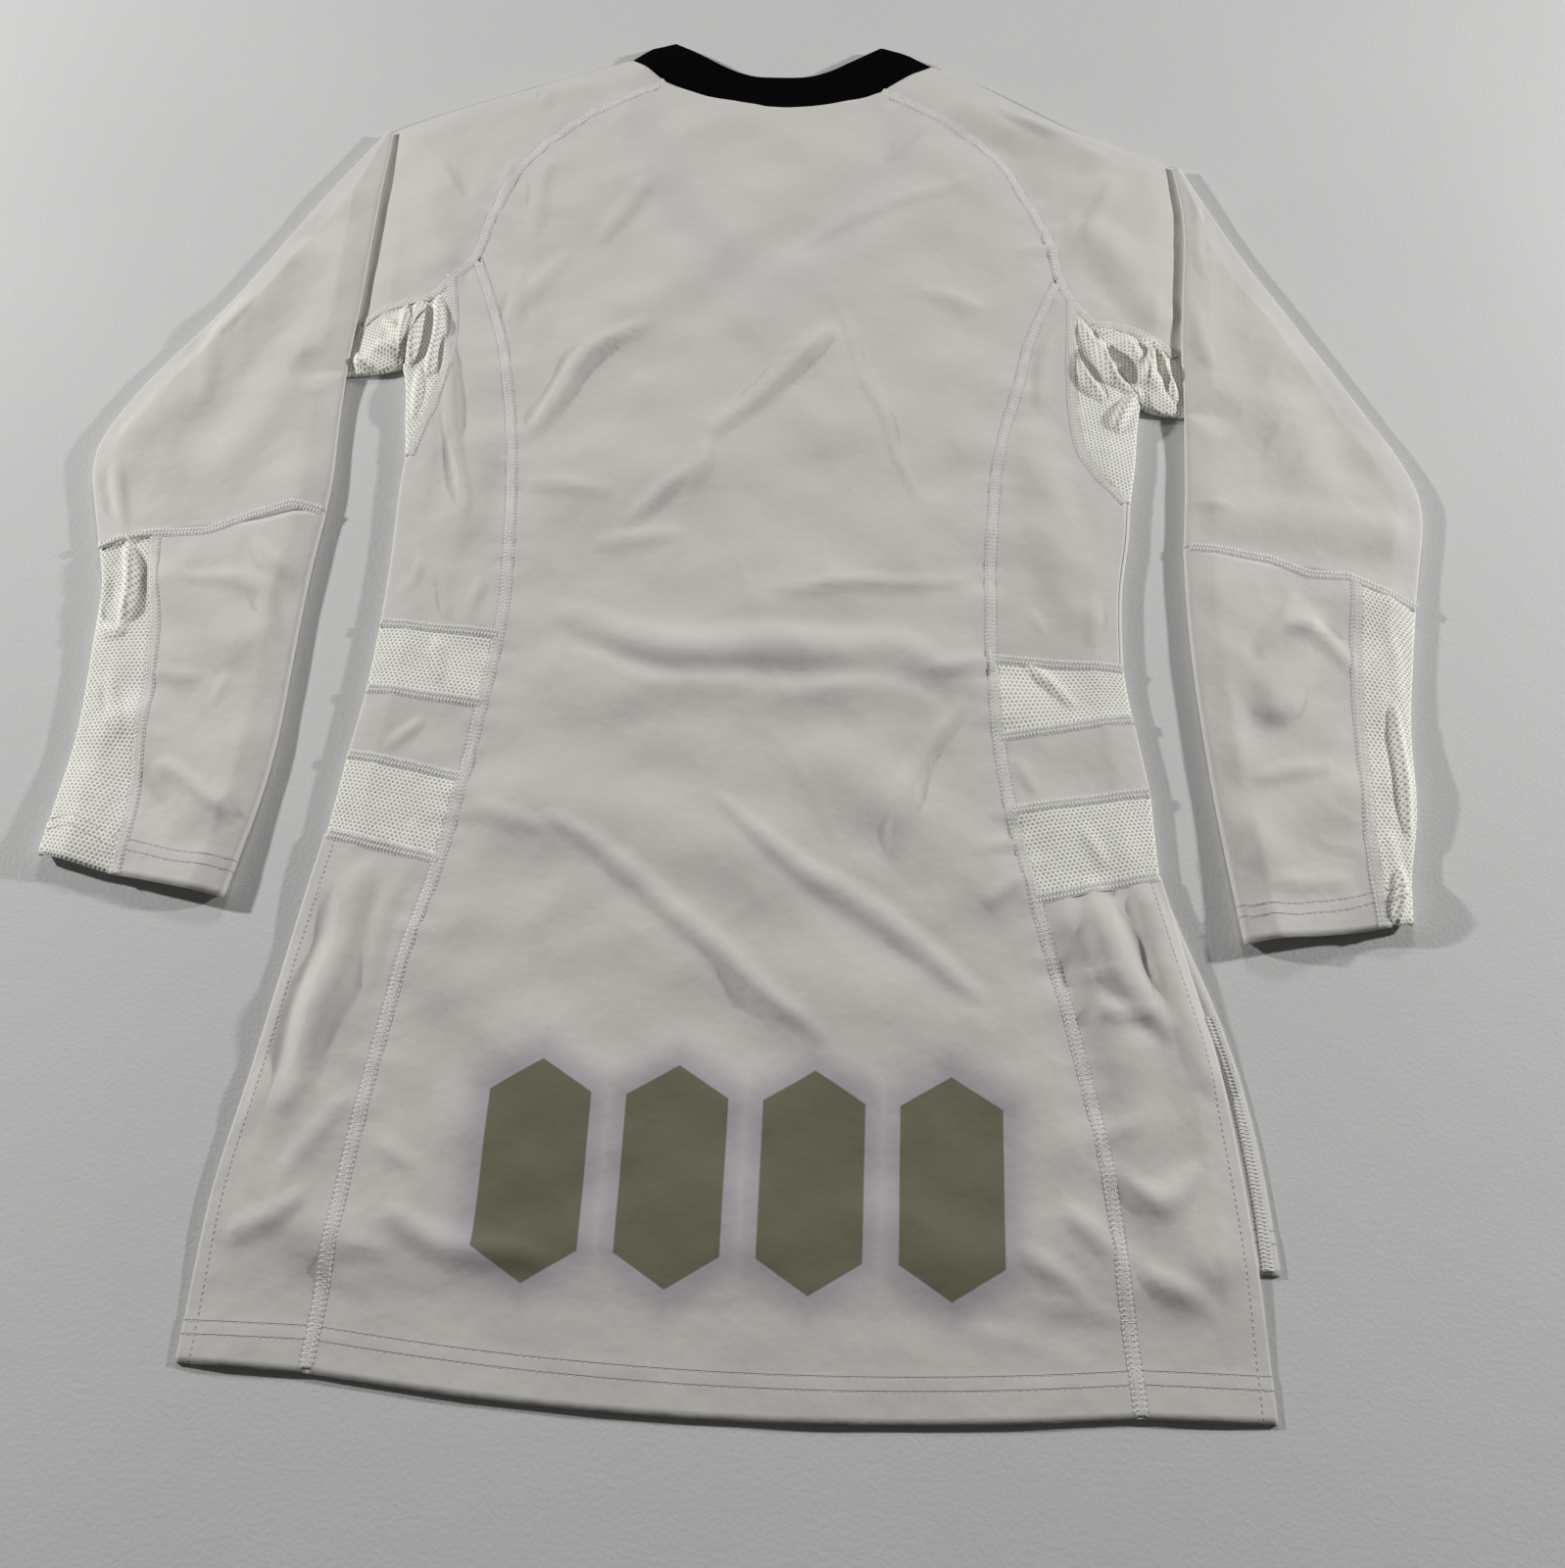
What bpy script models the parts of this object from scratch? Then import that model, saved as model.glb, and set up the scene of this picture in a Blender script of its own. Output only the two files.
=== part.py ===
"""Taekwondo jacket with raglan sleeves, lying flat on a table with its back side up.

Units are metres. +X is to the wearer's right sleeve as it lies, +Y points to the collar, +Z up.
The origin is the middle of the whole outline, on the table.

The front of the jacket is the lower layer and rests flat on the table. The back is the upper
layer. Side panels, gussets, sleeves and collar turn round the folded edges from one layer to the
other. Every piece is a grid of points on the middle of the cloth, given a wall by Solidify, and
neighbours share the points of their seam, moved apart by half the seam gap each.
"""
import functools
import math

import bmesh
import bpy
import numpy as np

# Cloth and layers
WALL = 0.0012
HALF = WALL / 2
SEAM_GAP = 0.0003
LAYER_STEP = 0.0016
UPPER_Z = HALF + LAYER_STEP
TURNED_Z = UPPER_Z + 0.0017
EDGE_LIFT = 0.0032
EDGE_REACH = 0.036
CLEAR_REACH = 0.018
LIFT_FADE = 0.050
FRAME_SHIFT = np.array((0.00007, 0.00125, 0.0))

# Rows and columns of the grids
COLUMNS_BACK = 16
COLUMNS_FRONT = 10
ROWS_RAGLAN = 7
ROWS_UPPER = 9
ROWS_GUSSET = 5
ROWS_BAND = 2
ROWS_SKIRT = 9
ROWS_FRONT_SKIRT = 6
ROWS_FOREARM = 8
TURN_STEPS = 4
PLEAT_STEPS = 3
COLUMNS_SIDE = 5
COLUMNS_SIDE_LOWER = 2
COLUMNS_SHOULDER = 6
COLUMNS_GUSSET = 3
COLUMNS_STRIP = 2
COLUMNS_ARM = 5

# Neck: ends of the folded collar, corners with the raglan seams, dip of the back edge
NECK_DIP = 0.020
COLLAR_TOP = ((-0.077, 0.470), (-0.054, 0.455), (-0.025, 0.438), (0.001, 0.435),
              (0.027, 0.439), (0.055, 0.455), (0.076, 0.470))
V_POINT_OUTER = (0.002, 0.205)
V_POINT_INNER = (0.002, 0.243)
HEM_DIP = 0.011
FRONT_HEM_Y = -0.394
FLAT_FROM_Y = -0.412
FLAT_TO_Y = -0.442
LIFT_END_Y = -0.250
HEM_FOLD_SHARE = 0.3
END_ROWS = 6
OPENING_ROWS = 14

# Heights of the four seams of the side bands: row, y at the princess seam, y at the side edge
BANDS_LEFT = (("a", -0.045, -0.040), ("b", -0.092, -0.085), ("c", -0.140, -0.128), ("d", -0.192, -0.178))
BANDS_RIGHT = (("a", -0.048, -0.053), ("b", -0.101, -0.086), ("c", -0.148, -0.133), ("d", -0.201, -0.184))

LEFT = {
    "out": -1.0,
    "collar_tip": (-0.108, 0.451),
    "collar_corner": (-0.0815, 0.4275),
    "front_corner": (-0.110, 0.407),
    "tip_turn": (-0.47, 0.88),
    "arm_outer": ((-0.110, 0.407), (-0.098, 0.350), (-0.066, 0.285), (-0.030, 0.236), V_POINT_OUTER),
    "arm_inner": ((-0.080, 0.415), (-0.069, 0.362), (-0.043, 0.306), (-0.016, 0.264), V_POINT_INNER),
    "shoulder": ((-0.274, 0.3725), (-0.248, 0.387), (-0.181, 0.418), (-0.139, 0.438), (-0.108, 0.451)),
    "raglan": ((-0.0815, 0.4275), (-0.108, 0.410), (-0.129, 0.392), (-0.147, 0.376), (-0.163, 0.358),
               (-0.180, 0.330), (-0.190, 0.294), (-0.198, 0.255)),
    "armhole": (-0.2115, 0.232),
    "underarm": (-0.224, 0.216),
    "princess": ((-0.198, 0.255), (-0.182, 0.214), (-0.169, 0.174), (-0.157, 0.114), (-0.149, 0.049),
                 (-0.145, -0.011), (-0.145, -0.046), (-0.150, -0.101), (-0.160, -0.192), (-0.173, -0.261),
                 (-0.183, -0.356), (-0.188, -0.458)),
    "gusset": ((-0.2115, 0.232), (-0.206, 0.198), (-0.204, 0.165), (-0.206, 0.139), (-0.211, 0.112),
               (-0.2175, 0.084)),
    "edge": ((-0.234, 0.157), (-0.229, 0.137), (-0.226, 0.113), (-0.2215, 0.084), (-0.222, 0.060),
             (-0.219, 0.016), (-0.218, -0.040), (-0.219, -0.085), (-0.223, -0.128), (-0.2265, -0.178),
             (-0.235, -0.242), (-0.244, -0.323), (-0.251, -0.375), (-0.252, -0.458)),
    "crotch": ((-0.234, 0.157), (-0.247, 0.152), (-0.258, 0.150), (-0.2875, 0.1485)),
    "gusset_top": ((-0.2875, 0.160), (-0.271, 0.184), (-0.258, 0.200), (-0.244, 0.208), (-0.224, 0.216)),
    "front_skirt": ((-0.2265, -0.178), (-0.230, -0.242), (-0.237, -0.323), (-0.243, -0.394)),
    "pleat_top": 0.3695,
    "seam_on_top": False,
    "corner_turn": (-0.5, -0.87),
    "strip_share": 0.757,
    "outer": ((-0.275, 0.375), (-0.312, 0.304), (-0.356, 0.210), (-0.394, 0.146), (-0.417, 0.098),
              (-0.4225, 0.078), (-0.414, 0.050), (-0.400, 0.007), (-0.391, -0.020), (-0.388, -0.055),
              (-0.382, -0.118), (-0.383, -0.160), (-0.384, -0.199)),
    "inner": ((-0.272, 0.376), (-0.271, 0.290), (-0.269, 0.210), (-0.269, 0.153), (-0.267, 0.103),
              (-0.263, 0.057), (-0.264, 0.039), (-0.266, -0.018), (-0.265, -0.078), (-0.265, -0.141),
              (-0.276, -0.219)),
    "strip": ((-0.372, 0.150), (-0.370, 0.050), (-0.367, 0.015), (-0.351, -0.054), (-0.343, -0.120),
              (-0.337, -0.182), (-0.339, -0.210)),
    "elbow": (0.039, 0.007),
    "cuff": (-0.219, -0.199),
    "elbow_bulge": ((0.0, 0.0), (0.15, 0.008), (0.33, 0.007), (0.53, 0.000), (0.76, 0.003), (1.0, 0.0)),
    "cuff_bulge": ((0.0, 0.0), (0.30, -0.002), (0.62, -0.001), (0.85, 0.006), (1.0, 0.0)),
    "bands": BANDS_LEFT,
    "hem": (-0.460, -0.458),
}
RIGHT = {
    "out": 1.0,
    "collar_tip": (0.114, 0.454),
    "collar_corner": (0.077, 0.423),
    "front_corner": (0.114, 0.401),
    "tip_turn": (0.47, 0.88),
    "arm_outer": ((0.114, 0.401), (0.102, 0.350), (0.070, 0.285), (0.034, 0.236), V_POINT_OUTER),
    "arm_inner": ((0.084, 0.413), (0.073, 0.362), (0.047, 0.306), (0.020, 0.264), V_POINT_INNER),
    "shoulder": ((0.285, 0.3635), (0.246, 0.379), (0.205, 0.398), (0.149, 0.437), (0.114, 0.454)),
    "raglan": ((0.077, 0.423), (0.099, 0.412), (0.121, 0.398), (0.141, 0.381), (0.162, 0.356),
               (0.179, 0.321), (0.194, 0.284), (0.200, 0.252)),
    "armhole": (0.2075, 0.229),
    "underarm": (0.221, 0.210),
    "princess": ((0.200, 0.252), (0.179, 0.196), (0.170, 0.157), (0.158, 0.108), (0.151, 0.045),
                 (0.149, -0.026), (0.152, -0.093), (0.159, -0.148), (0.170, -0.198), (0.185, -0.257),
                 (0.203, -0.344), (0.210, -0.409), (0.215, -0.462)),
    "gusset": ((0.2075, 0.229), (0.205, 0.178), (0.205, 0.143), (0.208, 0.111), (0.218, 0.088),
               (0.2345, 0.067)),
    "edge": ((0.249, 0.145), (0.246, 0.125), (0.243, 0.094), (0.2385, 0.067), (0.236, 0.035),
             (0.230, 0.006), (0.228, -0.053), (0.232, -0.086), (0.239, -0.133), (0.241, -0.184),
             (0.251, -0.228), (0.264, -0.279), (0.270, -0.318), (0.277, -0.390), (0.280, -0.463)),
    "crotch": ((0.249, 0.145), (0.258, 0.141), (0.268, 0.139), (0.2955, 0.138)),
    "gusset_top": ((0.2955, 0.150), (0.281, 0.176), (0.266, 0.196), (0.244, 0.208), (0.221, 0.210)),
    "front_skirt": ((0.241, -0.184), (0.254, -0.224), (0.267, -0.258), (0.279, -0.305),
                    (0.285, -0.350), (0.288, -0.394)),
    "pleat_top": 0.3590,
    "seam_on_top": True,
    "corner_turn": (0.5, -0.87),
    "strip_share": 0.754,
    "outer": ((0.287, 0.364), (0.322, 0.284), (0.344, 0.241), (0.371, 0.189), (0.397, 0.138),
              (0.412, 0.108), (0.423, 0.076), (0.416, 0.042), (0.407, -0.003), (0.400, -0.042),
              (0.392, -0.090), (0.390, -0.139), (0.380, -0.177), (0.377, -0.206)),
    "inner": ((0.282, 0.366), (0.285, 0.338), (0.287, 0.300), (0.281, 0.230), (0.277, 0.186),
              (0.277, 0.158), (0.273, 0.080), (0.269, 0.036), (0.268, -0.025), (0.271, -0.090),
              (0.277, -0.162), (0.284, -0.222)),
    "strip": ((0.378, 0.150), (0.376, 0.050), (0.373, 0.008), (0.364, -0.057), (0.361, -0.107),
              (0.359, -0.160), (0.360, -0.210)),
    "elbow": (0.036, -0.003),
    "cuff": (-0.222, -0.206),
    "elbow_bulge": ((0.0, 0.0), (0.20, 0.005), (0.38, 0.008), (0.55, 0.004), (0.72, 0.010), (1.0, 0.0)),
    "cuff_bulge": ((0.0, 0.0), (0.30, -0.003), (0.62, -0.003), (0.85, -0.001), (1.0, 0.0)),
    "bands": BANDS_RIGHT,
    "hem": (-0.463, -0.463),
}
SIDES = (("left", LEFT), ("right", RIGHT))

# Sleeve pleat: the upper layer turns under along the inner line of the sleeve
PLEAT_DEPTH_TOP = 0.0033
PLEAT_DEPTH_LOW = 0.020
PLEAT_Z_TOP = 0.0056
PLEAT_Z = 0.0070
PLEAT_Z_CROTCH = 0.0064
PLEAT_RISE_ROWS = 4
UNDERARM_Z = UPPER_Z + 0.0034
TUBE_Z = UPPER_Z + EDGE_LIFT
PLEAT_REACH = 0.055
PRESSED_REACH = 0.014
CROTCH_DROP = 0.012
CROTCH_LENGTH = 0.017
VALLEY_RADIUS = 0.00085
TIP_GAP = 0.0006
TIP_OUTWARD = 2.5
TIP_SHARE = 0.25
BORDER_STEPS = 24
GUSSET_OUTWARD = -0.45
GUSSET_CROWD = 1.2
BULGE_ROWS = 3
CORNER_CUT = 0.0008
CORNER_SHARES = (0.0, 0.1, 0.4, 1.0, 1.0, 1.0, 1.0, 1.0, 0.3, 0.0)
ROWS_ARM = 4
STRIP_LEVEL = 0.8

# Main folds of the upper layer: from x, y to x, y, half width, height
FOLDS = (
    (0.236, -0.200, 0.262, -0.290, 0.019, 0.0085),
    (0.196, -0.215, 0.224, -0.330, 0.022, 0.0035),
    (0.045, 0.350, -0.110, 0.180, 0.040, 0.0045),
    (0.140, 0.340, 0.000, 0.215, 0.038, 0.0040),
    (-0.030, 0.395, -0.130, 0.300, 0.034, 0.0035),
    (-0.100, -0.075, 0.120, -0.055, 0.036, 0.0040),
    (-0.120, 0.060, 0.060, 0.120, 0.048, 0.0030),
    (0.020, -0.020, 0.135, 0.050, 0.040, 0.0025),
    (-0.110, -0.150, 0.020, -0.180, 0.042, 0.0030),
    (0.060, -0.130, 0.150, -0.190, 0.036, 0.0035),
    (-0.150, -0.240, -0.060, -0.330, 0.040, 0.0030),
    (0.040, -0.260, 0.150, -0.300, 0.042, 0.0030),
    (-0.205, -0.230, -0.222, -0.330, 0.020, 0.0045),
    (-0.236, -0.330, -0.190, -0.400, 0.026, 0.0030),
    (0.215, -0.350, 0.250, -0.390, 0.024, 0.0030),
    (-0.172, 0.090, -0.185, 0.000, 0.022, 0.0030),
    (0.180, 0.110, 0.196, -0.010, 0.024, 0.0030),
    (-0.150, 0.420, -0.110, 0.360, 0.026, 0.0030),
    (0.140, 0.400, 0.225, 0.365, 0.022, 0.0040),
    (0.225, 0.290, 0.262, 0.225, 0.024, 0.0040),
    (-0.235, 0.330, -0.225, 0.250, 0.024, 0.0030),
    (-0.320, 0.240, -0.385, 0.100, 0.032, 0.0040),
    (-0.300, 0.160, -0.330, 0.070, 0.028, 0.0030),
    (0.330, 0.220, 0.350, 0.100, 0.034, 0.0035),
    (0.300, 0.060, 0.390, 0.050, 0.026, 0.0030),
    (-0.350, -0.020, -0.300, -0.060, 0.024, 0.0035),
    (-0.345, -0.110, -0.300, -0.165, 0.026, 0.0035),
    (0.335, -0.020, 0.312, -0.075, 0.018, 0.0055),
    (0.350, -0.130, 0.300, -0.160, 0.026, 0.0035),
    (-0.238, 0.190, -0.236, 0.165, 0.014, 0.0040),
    (0.243, 0.190, 0.258, 0.165, 0.014, 0.0055),
)

# Colours of the cloth, mesh and collar, with their roughness
CLOTH = (0.70, 0.67, 0.65)
MESH = (0.84, 0.84, 0.80)
COLLAR = (0.012, 0.012, 0.014)
ROUGHNESS = 0.75


def smooth(points, dense=12):
    """A smooth line through the named points, by Catmull-Rom."""
    points = np.array(points, dtype=float)
    padded = np.vstack((2 * points[0] - points[1], points, 2 * points[-1] - points[-2]))
    line = []
    for before, start, end, after in zip(padded, padded[1:], padded[2:], padded[3:]):
        for t in np.linspace(0.0, 1.0, dense, endpoint=False):
            line.append(0.5 * (2 * start + (end - before) * t
                               + (2 * before - 5 * start + 4 * end - after) * t ** 2
                               + (3 * start - before - 3 * end + after) * t ** 3))
    line.append(points[-1])
    return np.array(line)


def spread(points, count):
    """Stations at even spacing along the smooth line through the points."""
    line = smooth(points)
    steps = np.hypot(*np.diff(line, axis=0).T)
    length = np.concatenate(([0.0], np.cumsum(steps)))
    marks = np.linspace(0.0, length[-1], count + 1)
    return np.column_stack((np.interp(marks, length, line[:, 0]), np.interp(marks, length, line[:, 1])))


def x_at(points, y):
    """The x of a line that runs down the garment, at height y."""
    line = smooth(points)
    order = np.argsort(line[:, 1])
    return float(np.interp(y, line[order, 1], line[order, 0]))


def mix(a, b, t):
    return np.array(a, dtype=float) * (1 - t) + np.array(b, dtype=float) * t


def ease(t):
    t = min(max(t, 0.0), 1.0)
    return t * t * (3 - 2 * t)


def unit(vector):
    return np.array(vector, dtype=float) / math.hypot(*vector)


def distance(point, start, end):
    """Distance in plan from a point to a straight stretch."""
    run = np.subtract(end, start)
    t = np.clip(np.dot(np.subtract(point, start), run) / np.dot(run, run), 0.0, 1.0)
    return math.hypot(*(np.subtract(point, start) - run * t))


def line_distance(point, points):
    return min(distance(point, a, b) for a, b in zip(points, points[1:]))


def fold_height(point):
    """Sum of the soft ridges of the fold table."""
    total = 0.0
    for x0, y0, x1, y1, half_width, height in FOLDS:
        away = distance(point, (x0, y0), (x1, y1)) / half_width
        if away < 1.0:
            total += height * 0.5 * (1 + math.cos(math.pi * away))
    return total


def body_height(point):
    """Middle of the upper layer over the body and shoulders."""
    reach = []
    for _, side in SIDES:
        reach.append(line_distance(point, side["shoulder"]))
        reach.append(line_distance(point, side["crotch"]))
        reach.append(line_distance(point, side["edge"]))
    fade = ease((point[1] - LIFT_END_Y) / LIFT_FADE)
    lift = EDGE_LIFT * (1 - ease(min(reach) / EDGE_REACH)) * fade
    free = ease((point[1] - FLAT_TO_Y) / (FLAT_FROM_Y - FLAT_TO_Y))
    clear = min(1.0, min(reach) / CLEAR_REACH)
    return HALF + LAYER_STEP * free + lift + fold_height(point) * clear * max(free, HEM_FOLD_SHARE)


def pressed_height(side, point):
    """The upper layer of the shoulder, pressed down where the sleeve lies over it."""
    past = -side["out"] * (point[0] - x_at(side["inner"], point[1]))
    return UPPER_Z + (body_height(point) - UPPER_Z) * ease(past / PRESSED_REACH)


def raised(points, height):
    return [np.array((p[0], p[1], height(p))) for p in points]


def flat(points):
    return [np.array((p[0], p[1], HALF)) for p in points]


def turn(centre, outward, z_from, z_to, steps):
    """Half a turn round a folded edge, without its two end points."""
    radius = abs(z_from - z_to) / 2
    points = []
    for k in range(1, steps):
        angle = math.pi * k / steps
        reach = np.multiply(outward, radius * math.sin(angle))
        z = mix(z_from, z_to, (1 - math.cos(angle)) / 2)
        points.append(np.array((centre[0] + reach[0], centre[1] + reach[1], z)))
    return points


def straight(start, end, steps):
    return [mix(start, end, k / steps) for k in range(steps + 1)]


def wrap(start, fold, end, outward, height, upper_steps, lower_steps):
    """A section from a seam of the upper layer, round a folded edge, to a lower seam."""
    near = np.subtract(fold, np.multiply(outward, EDGE_LIFT))
    radius = (height(near) - HALF) / 2
    centre = np.subtract(fold, np.multiply(outward, radius + HALF))
    section = raised(straight(start, centre, upper_steps), height)
    section[-1][2] = HALF + 2 * radius
    section += turn(centre, outward, HALF + 2 * radius, HALF, TURN_STEPS)
    section += flat(straight(centre, end, lower_steps))
    return section


def inset(grid, rows=(True, True), columns=(True, True)):
    """Move the chosen borders of a grid inward by half the seam gap."""
    grid = np.array(grid, dtype=float)

    def moved(edge, towards):
        step = towards - edge
        length = np.linalg.norm(step, axis=-1, keepdims=True)
        return edge + step / np.maximum(length, 1e-9) * SEAM_GAP / 2

    if rows[0]:
        grid[0] = moved(grid[0], grid[1])
    if rows[1]:
        grid[-1] = moved(grid[-1], grid[-2])
    if columns[0]:
        grid[:, 0] = moved(grid[:, 0], grid[:, 1])
    if columns[1]:
        grid[:, -1] = moved(grid[:, -1], grid[:, -2])
    return grid


def cut_corner(grid, row, towards):
    """Take the end of a gusset back where three pieces meet at a folded corner."""
    step = grid[towards] - grid[row]
    length = np.linalg.norm(step, axis=-1, keepdims=True)
    grid[row] += step / np.maximum(length, 1e-9) * np.array(CORNER_SHARES)[:, None] * CORNER_CUT
    return grid


def cloth_material(name, colour):
    material = bpy.data.materials.new(name)
    material.use_nodes = True
    shader = material.node_tree.nodes["Principled BSDF"]
    shader.inputs["Base Color"].default_value = (*colour, 1.0)
    shader.inputs["Roughness"].default_value = ROUGHNESS
    shader.inputs["Metallic"].default_value = 0.0
    return material


def make_piece(name, grids, colour):
    """One piece of cloth: its grids joined where they meet, with a wall by Solidify."""
    shape = bmesh.new()
    for grid in grids:
        rows, columns = grid.shape[0], grid.shape[1]
        points = [[shape.verts.new(grid[i, j] + FRAME_SHIFT) for j in range(columns)] for i in range(rows)]
        for i in range(rows - 1):
            for j in range(columns - 1):
                shape.faces.new((points[i][j], points[i][j + 1], points[i + 1][j + 1], points[i + 1][j]))
    bmesh.ops.remove_doubles(shape, verts=shape.verts, dist=0.00001)
    bmesh.ops.recalc_face_normals(shape, faces=shape.faces)
    mesh = bpy.data.meshes.new(name)
    shape.to_mesh(mesh)
    shape.free()
    mesh.shade_smooth()
    mesh.materials.append(cloth_material(name, colour))
    piece = bpy.data.objects.new(name, mesh)
    bpy.context.scene.collection.objects.link(piece)
    wall = piece.modifiers.new("wall", "SOLIDIFY")
    wall.thickness = WALL
    wall.offset = 0.0
    wall.use_even_offset = True
    wall.use_quality_normals = True
    wall.use_rim = True
    return piece


def band_stretches(side):
    """Rows of the side seams: pairs of y at the princess seam and y at the side edge."""
    tip_y = side["gusset"][-1][1]
    top_y = side["princess"][0][1]
    bands = side["bands"]
    rows = {"upper": []}
    for k in range(ROWS_UPPER + 1):
        seam_y = mix(top_y, bands[0][1], k / ROWS_UPPER)
        edge_y = mix(tip_y, bands[0][2], max(0, k - ROWS_GUSSET) / (ROWS_UPPER - ROWS_GUSSET))
        rows["upper"].append((float(seam_y), float(edge_y)))
    for above, below in zip(bands, bands[1:]):
        rows[below[0]] = [(float(mix(above[1], below[1], k / ROWS_BAND)),
                           float(mix(above[2], below[2], k / ROWS_BAND))) for k in range(ROWS_BAND + 1)]
    for name, count, low in (("skirt", ROWS_SKIRT, side["hem"]),
                             ("front_skirt", ROWS_FRONT_SKIRT, (FRONT_HEM_Y, FRONT_HEM_Y))):
        rows[name] = [(float(mix(bands[-1][1], low[0], k / count)),
                       float(mix(bands[-1][2], low[1], k / count))) for k in range(count + 1)]
    return rows


def seam_point(side, y):
    return np.array((x_at(side["princess"], y), y))


def edge_point(side, y):
    return np.array((x_at(side["edge"], y), y))


def border(side, front):
    """Points down one side of the back or front panel, from the neck to the hem."""
    line = list(side["raglan"])
    if front:
        keep = [p for p in line if p[1] < side["front_corner"][1] - 0.006]
        line = [side["front_corner"]] + keep
    points = list(spread(line, ROWS_RAGLAN))
    rows = band_stretches(side)
    for name in ("upper", "b", "c", "d", "front_skirt" if front else "skirt"):
        points += [seam_point(side, seam_y) for seam_y, _ in rows[name][1:]]
    return points


def panel(front):
    """The back or the front panel, between the raglan and princess seams."""
    left = border(LEFT, front)
    right = border(RIGHT, front)
    last = len(left) - 1
    columns = COLUMNS_FRONT if front else COLUMNS_BACK
    neck = []
    if front:
        half = columns // 2
        neck = list(spread(LEFT["arm_outer"], half)) + list(spread(RIGHT["arm_outer"], half))[-2::-1]
    grid = []
    for i, (start, end) in enumerate(zip(left, right)):
        row = []
        for j in range(columns + 1):
            u = j / columns
            point = mix(start, end, u)
            bow = 1 - (2 * u - 1) ** 2
            if front:
                point = point + (neck[j] - mix(left[0], right[0], u)) * max(0.0, 1 - i / OPENING_ROWS)
            else:
                point[1] -= NECK_DIP * bow * max(0.0, 1 - i / END_ROWS)
                point[1] -= HEM_DIP * bow * max(0.0, 1 - (last - i) / END_ROWS)
            z = HALF if front else body_height(point)
            row.append(np.array((point[0], point[1], z)))
        grid.append(row)
    return inset(grid, rows=(True, False))


def collar():
    """One band: up one arm of the V, over the shoulder, round the back neck, and down again."""
    arms = {}
    for name, side in SIDES:
        outer = [side["collar_tip"]] + list(spread(side["arm_outer"], COLUMNS_FRONT // 2))
        crease = COLLAR_TOP[0] if name == "left" else COLLAR_TOP[-1]
        inner = [crease] + list(spread(side["arm_inner"], COLUMNS_FRONT // 2))
        arms[name] = [flat(straight(a, b, 2)) for a, b in zip(inner, outer)]
    upper_edge = spread(COLLAR_TOP, COLUMNS_BACK + 2)
    lower_edge = [LEFT["collar_tip"]]
    for j in range(COLUMNS_BACK + 1):
        u = j / COLUMNS_BACK
        point = mix(LEFT["collar_corner"], RIGHT["collar_corner"], u)
        point[1] -= NECK_DIP * (1 - (2 * u - 1) ** 2)
        lower_edge.append(point)
    lower_edge.append(RIGHT["collar_tip"])
    back = [raised(straight(a, b, 2), body_height) for a, b in zip(upper_edge, lower_edge)]
    rows = []
    for name, side in SIDES:
        outward = unit(side["tip_turn"])
        edge = back[0] if name == "left" else back[-1]
        folded = arms[name][0]
        turns = []
        for top, low in zip(edge, folded):
            radius = (top[2] - HALF) / 2
            centre = top[:2] - outward * (radius + HALF)
            top[:2] = centre
            low[:2] = centre
            turns.append(turn(centre, outward, HALF, top[2], TURN_STEPS))
        steps = [[column[k] for column in turns] for k in range(TURN_STEPS - 1)]
        arm = list(reversed(arms[name][1:])) + [folded] + steps
        rows += arm + back if name == "left" else list(reversed(arm))
    return inset(rows)


def side_upper(side):
    """Upper side panel: its back part and its front part, parted by the side seam at the edge."""
    rows = band_stretches(side)["upper"]
    gusset = spread(side["gusset"], ROWS_GUSSET)
    upper, turned, lower = [], [], []
    for k, (seam_y, edge_y) in enumerate(rows):
        start = seam_point(side, seam_y)
        if k < ROWS_GUSSET:
            upper.append(raised(straight(start, gusset[k], COLUMNS_SIDE), body_height))
            lower.append(flat(straight(start, gusset[k], COLUMNS_SIDE_LOWER)))
            continue
        fold = edge_point(side, edge_y - SEAM_GAP if k == ROWS_GUSSET else edge_y)
        section = wrap(start, fold, start, (side["out"], 0.0), body_height, COLUMNS_SIDE, COLUMNS_SIDE_LOWER)
        upper.append(section[:COLUMNS_SIDE + 1])
        turned.append(section[COLUMNS_SIDE:COLUMNS_SIDE + TURN_STEPS + 1])
        lower.append(section[:-COLUMNS_SIDE_LOWER - 2:-1])
    upper, lower = inset(upper), inset(lower)
    if side["seam_on_top"]:
        turned = inset(turned, columns=(True, False))
        turned[:, -1] = lower[ROWS_GUSSET:, -1]
        return [upper], [lower, turned]
    turned = inset(turned, columns=(False, True))
    turned[:, 0] = upper[ROWS_GUSSET:, -1]
    return [upper, turned], [lower]


def side_band(side, name):
    """One short panel of the side, which runs on round the edge to the front."""
    grid = []
    for seam_y, edge_y in band_stretches(side)[name]:
        start = seam_point(side, seam_y)
        grid.append(wrap(start, edge_point(side, edge_y), start, (side["out"], 0.0), body_height,
                         COLUMNS_SIDE, COLUMNS_SIDE_LOWER))
    return inset(grid)


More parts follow.
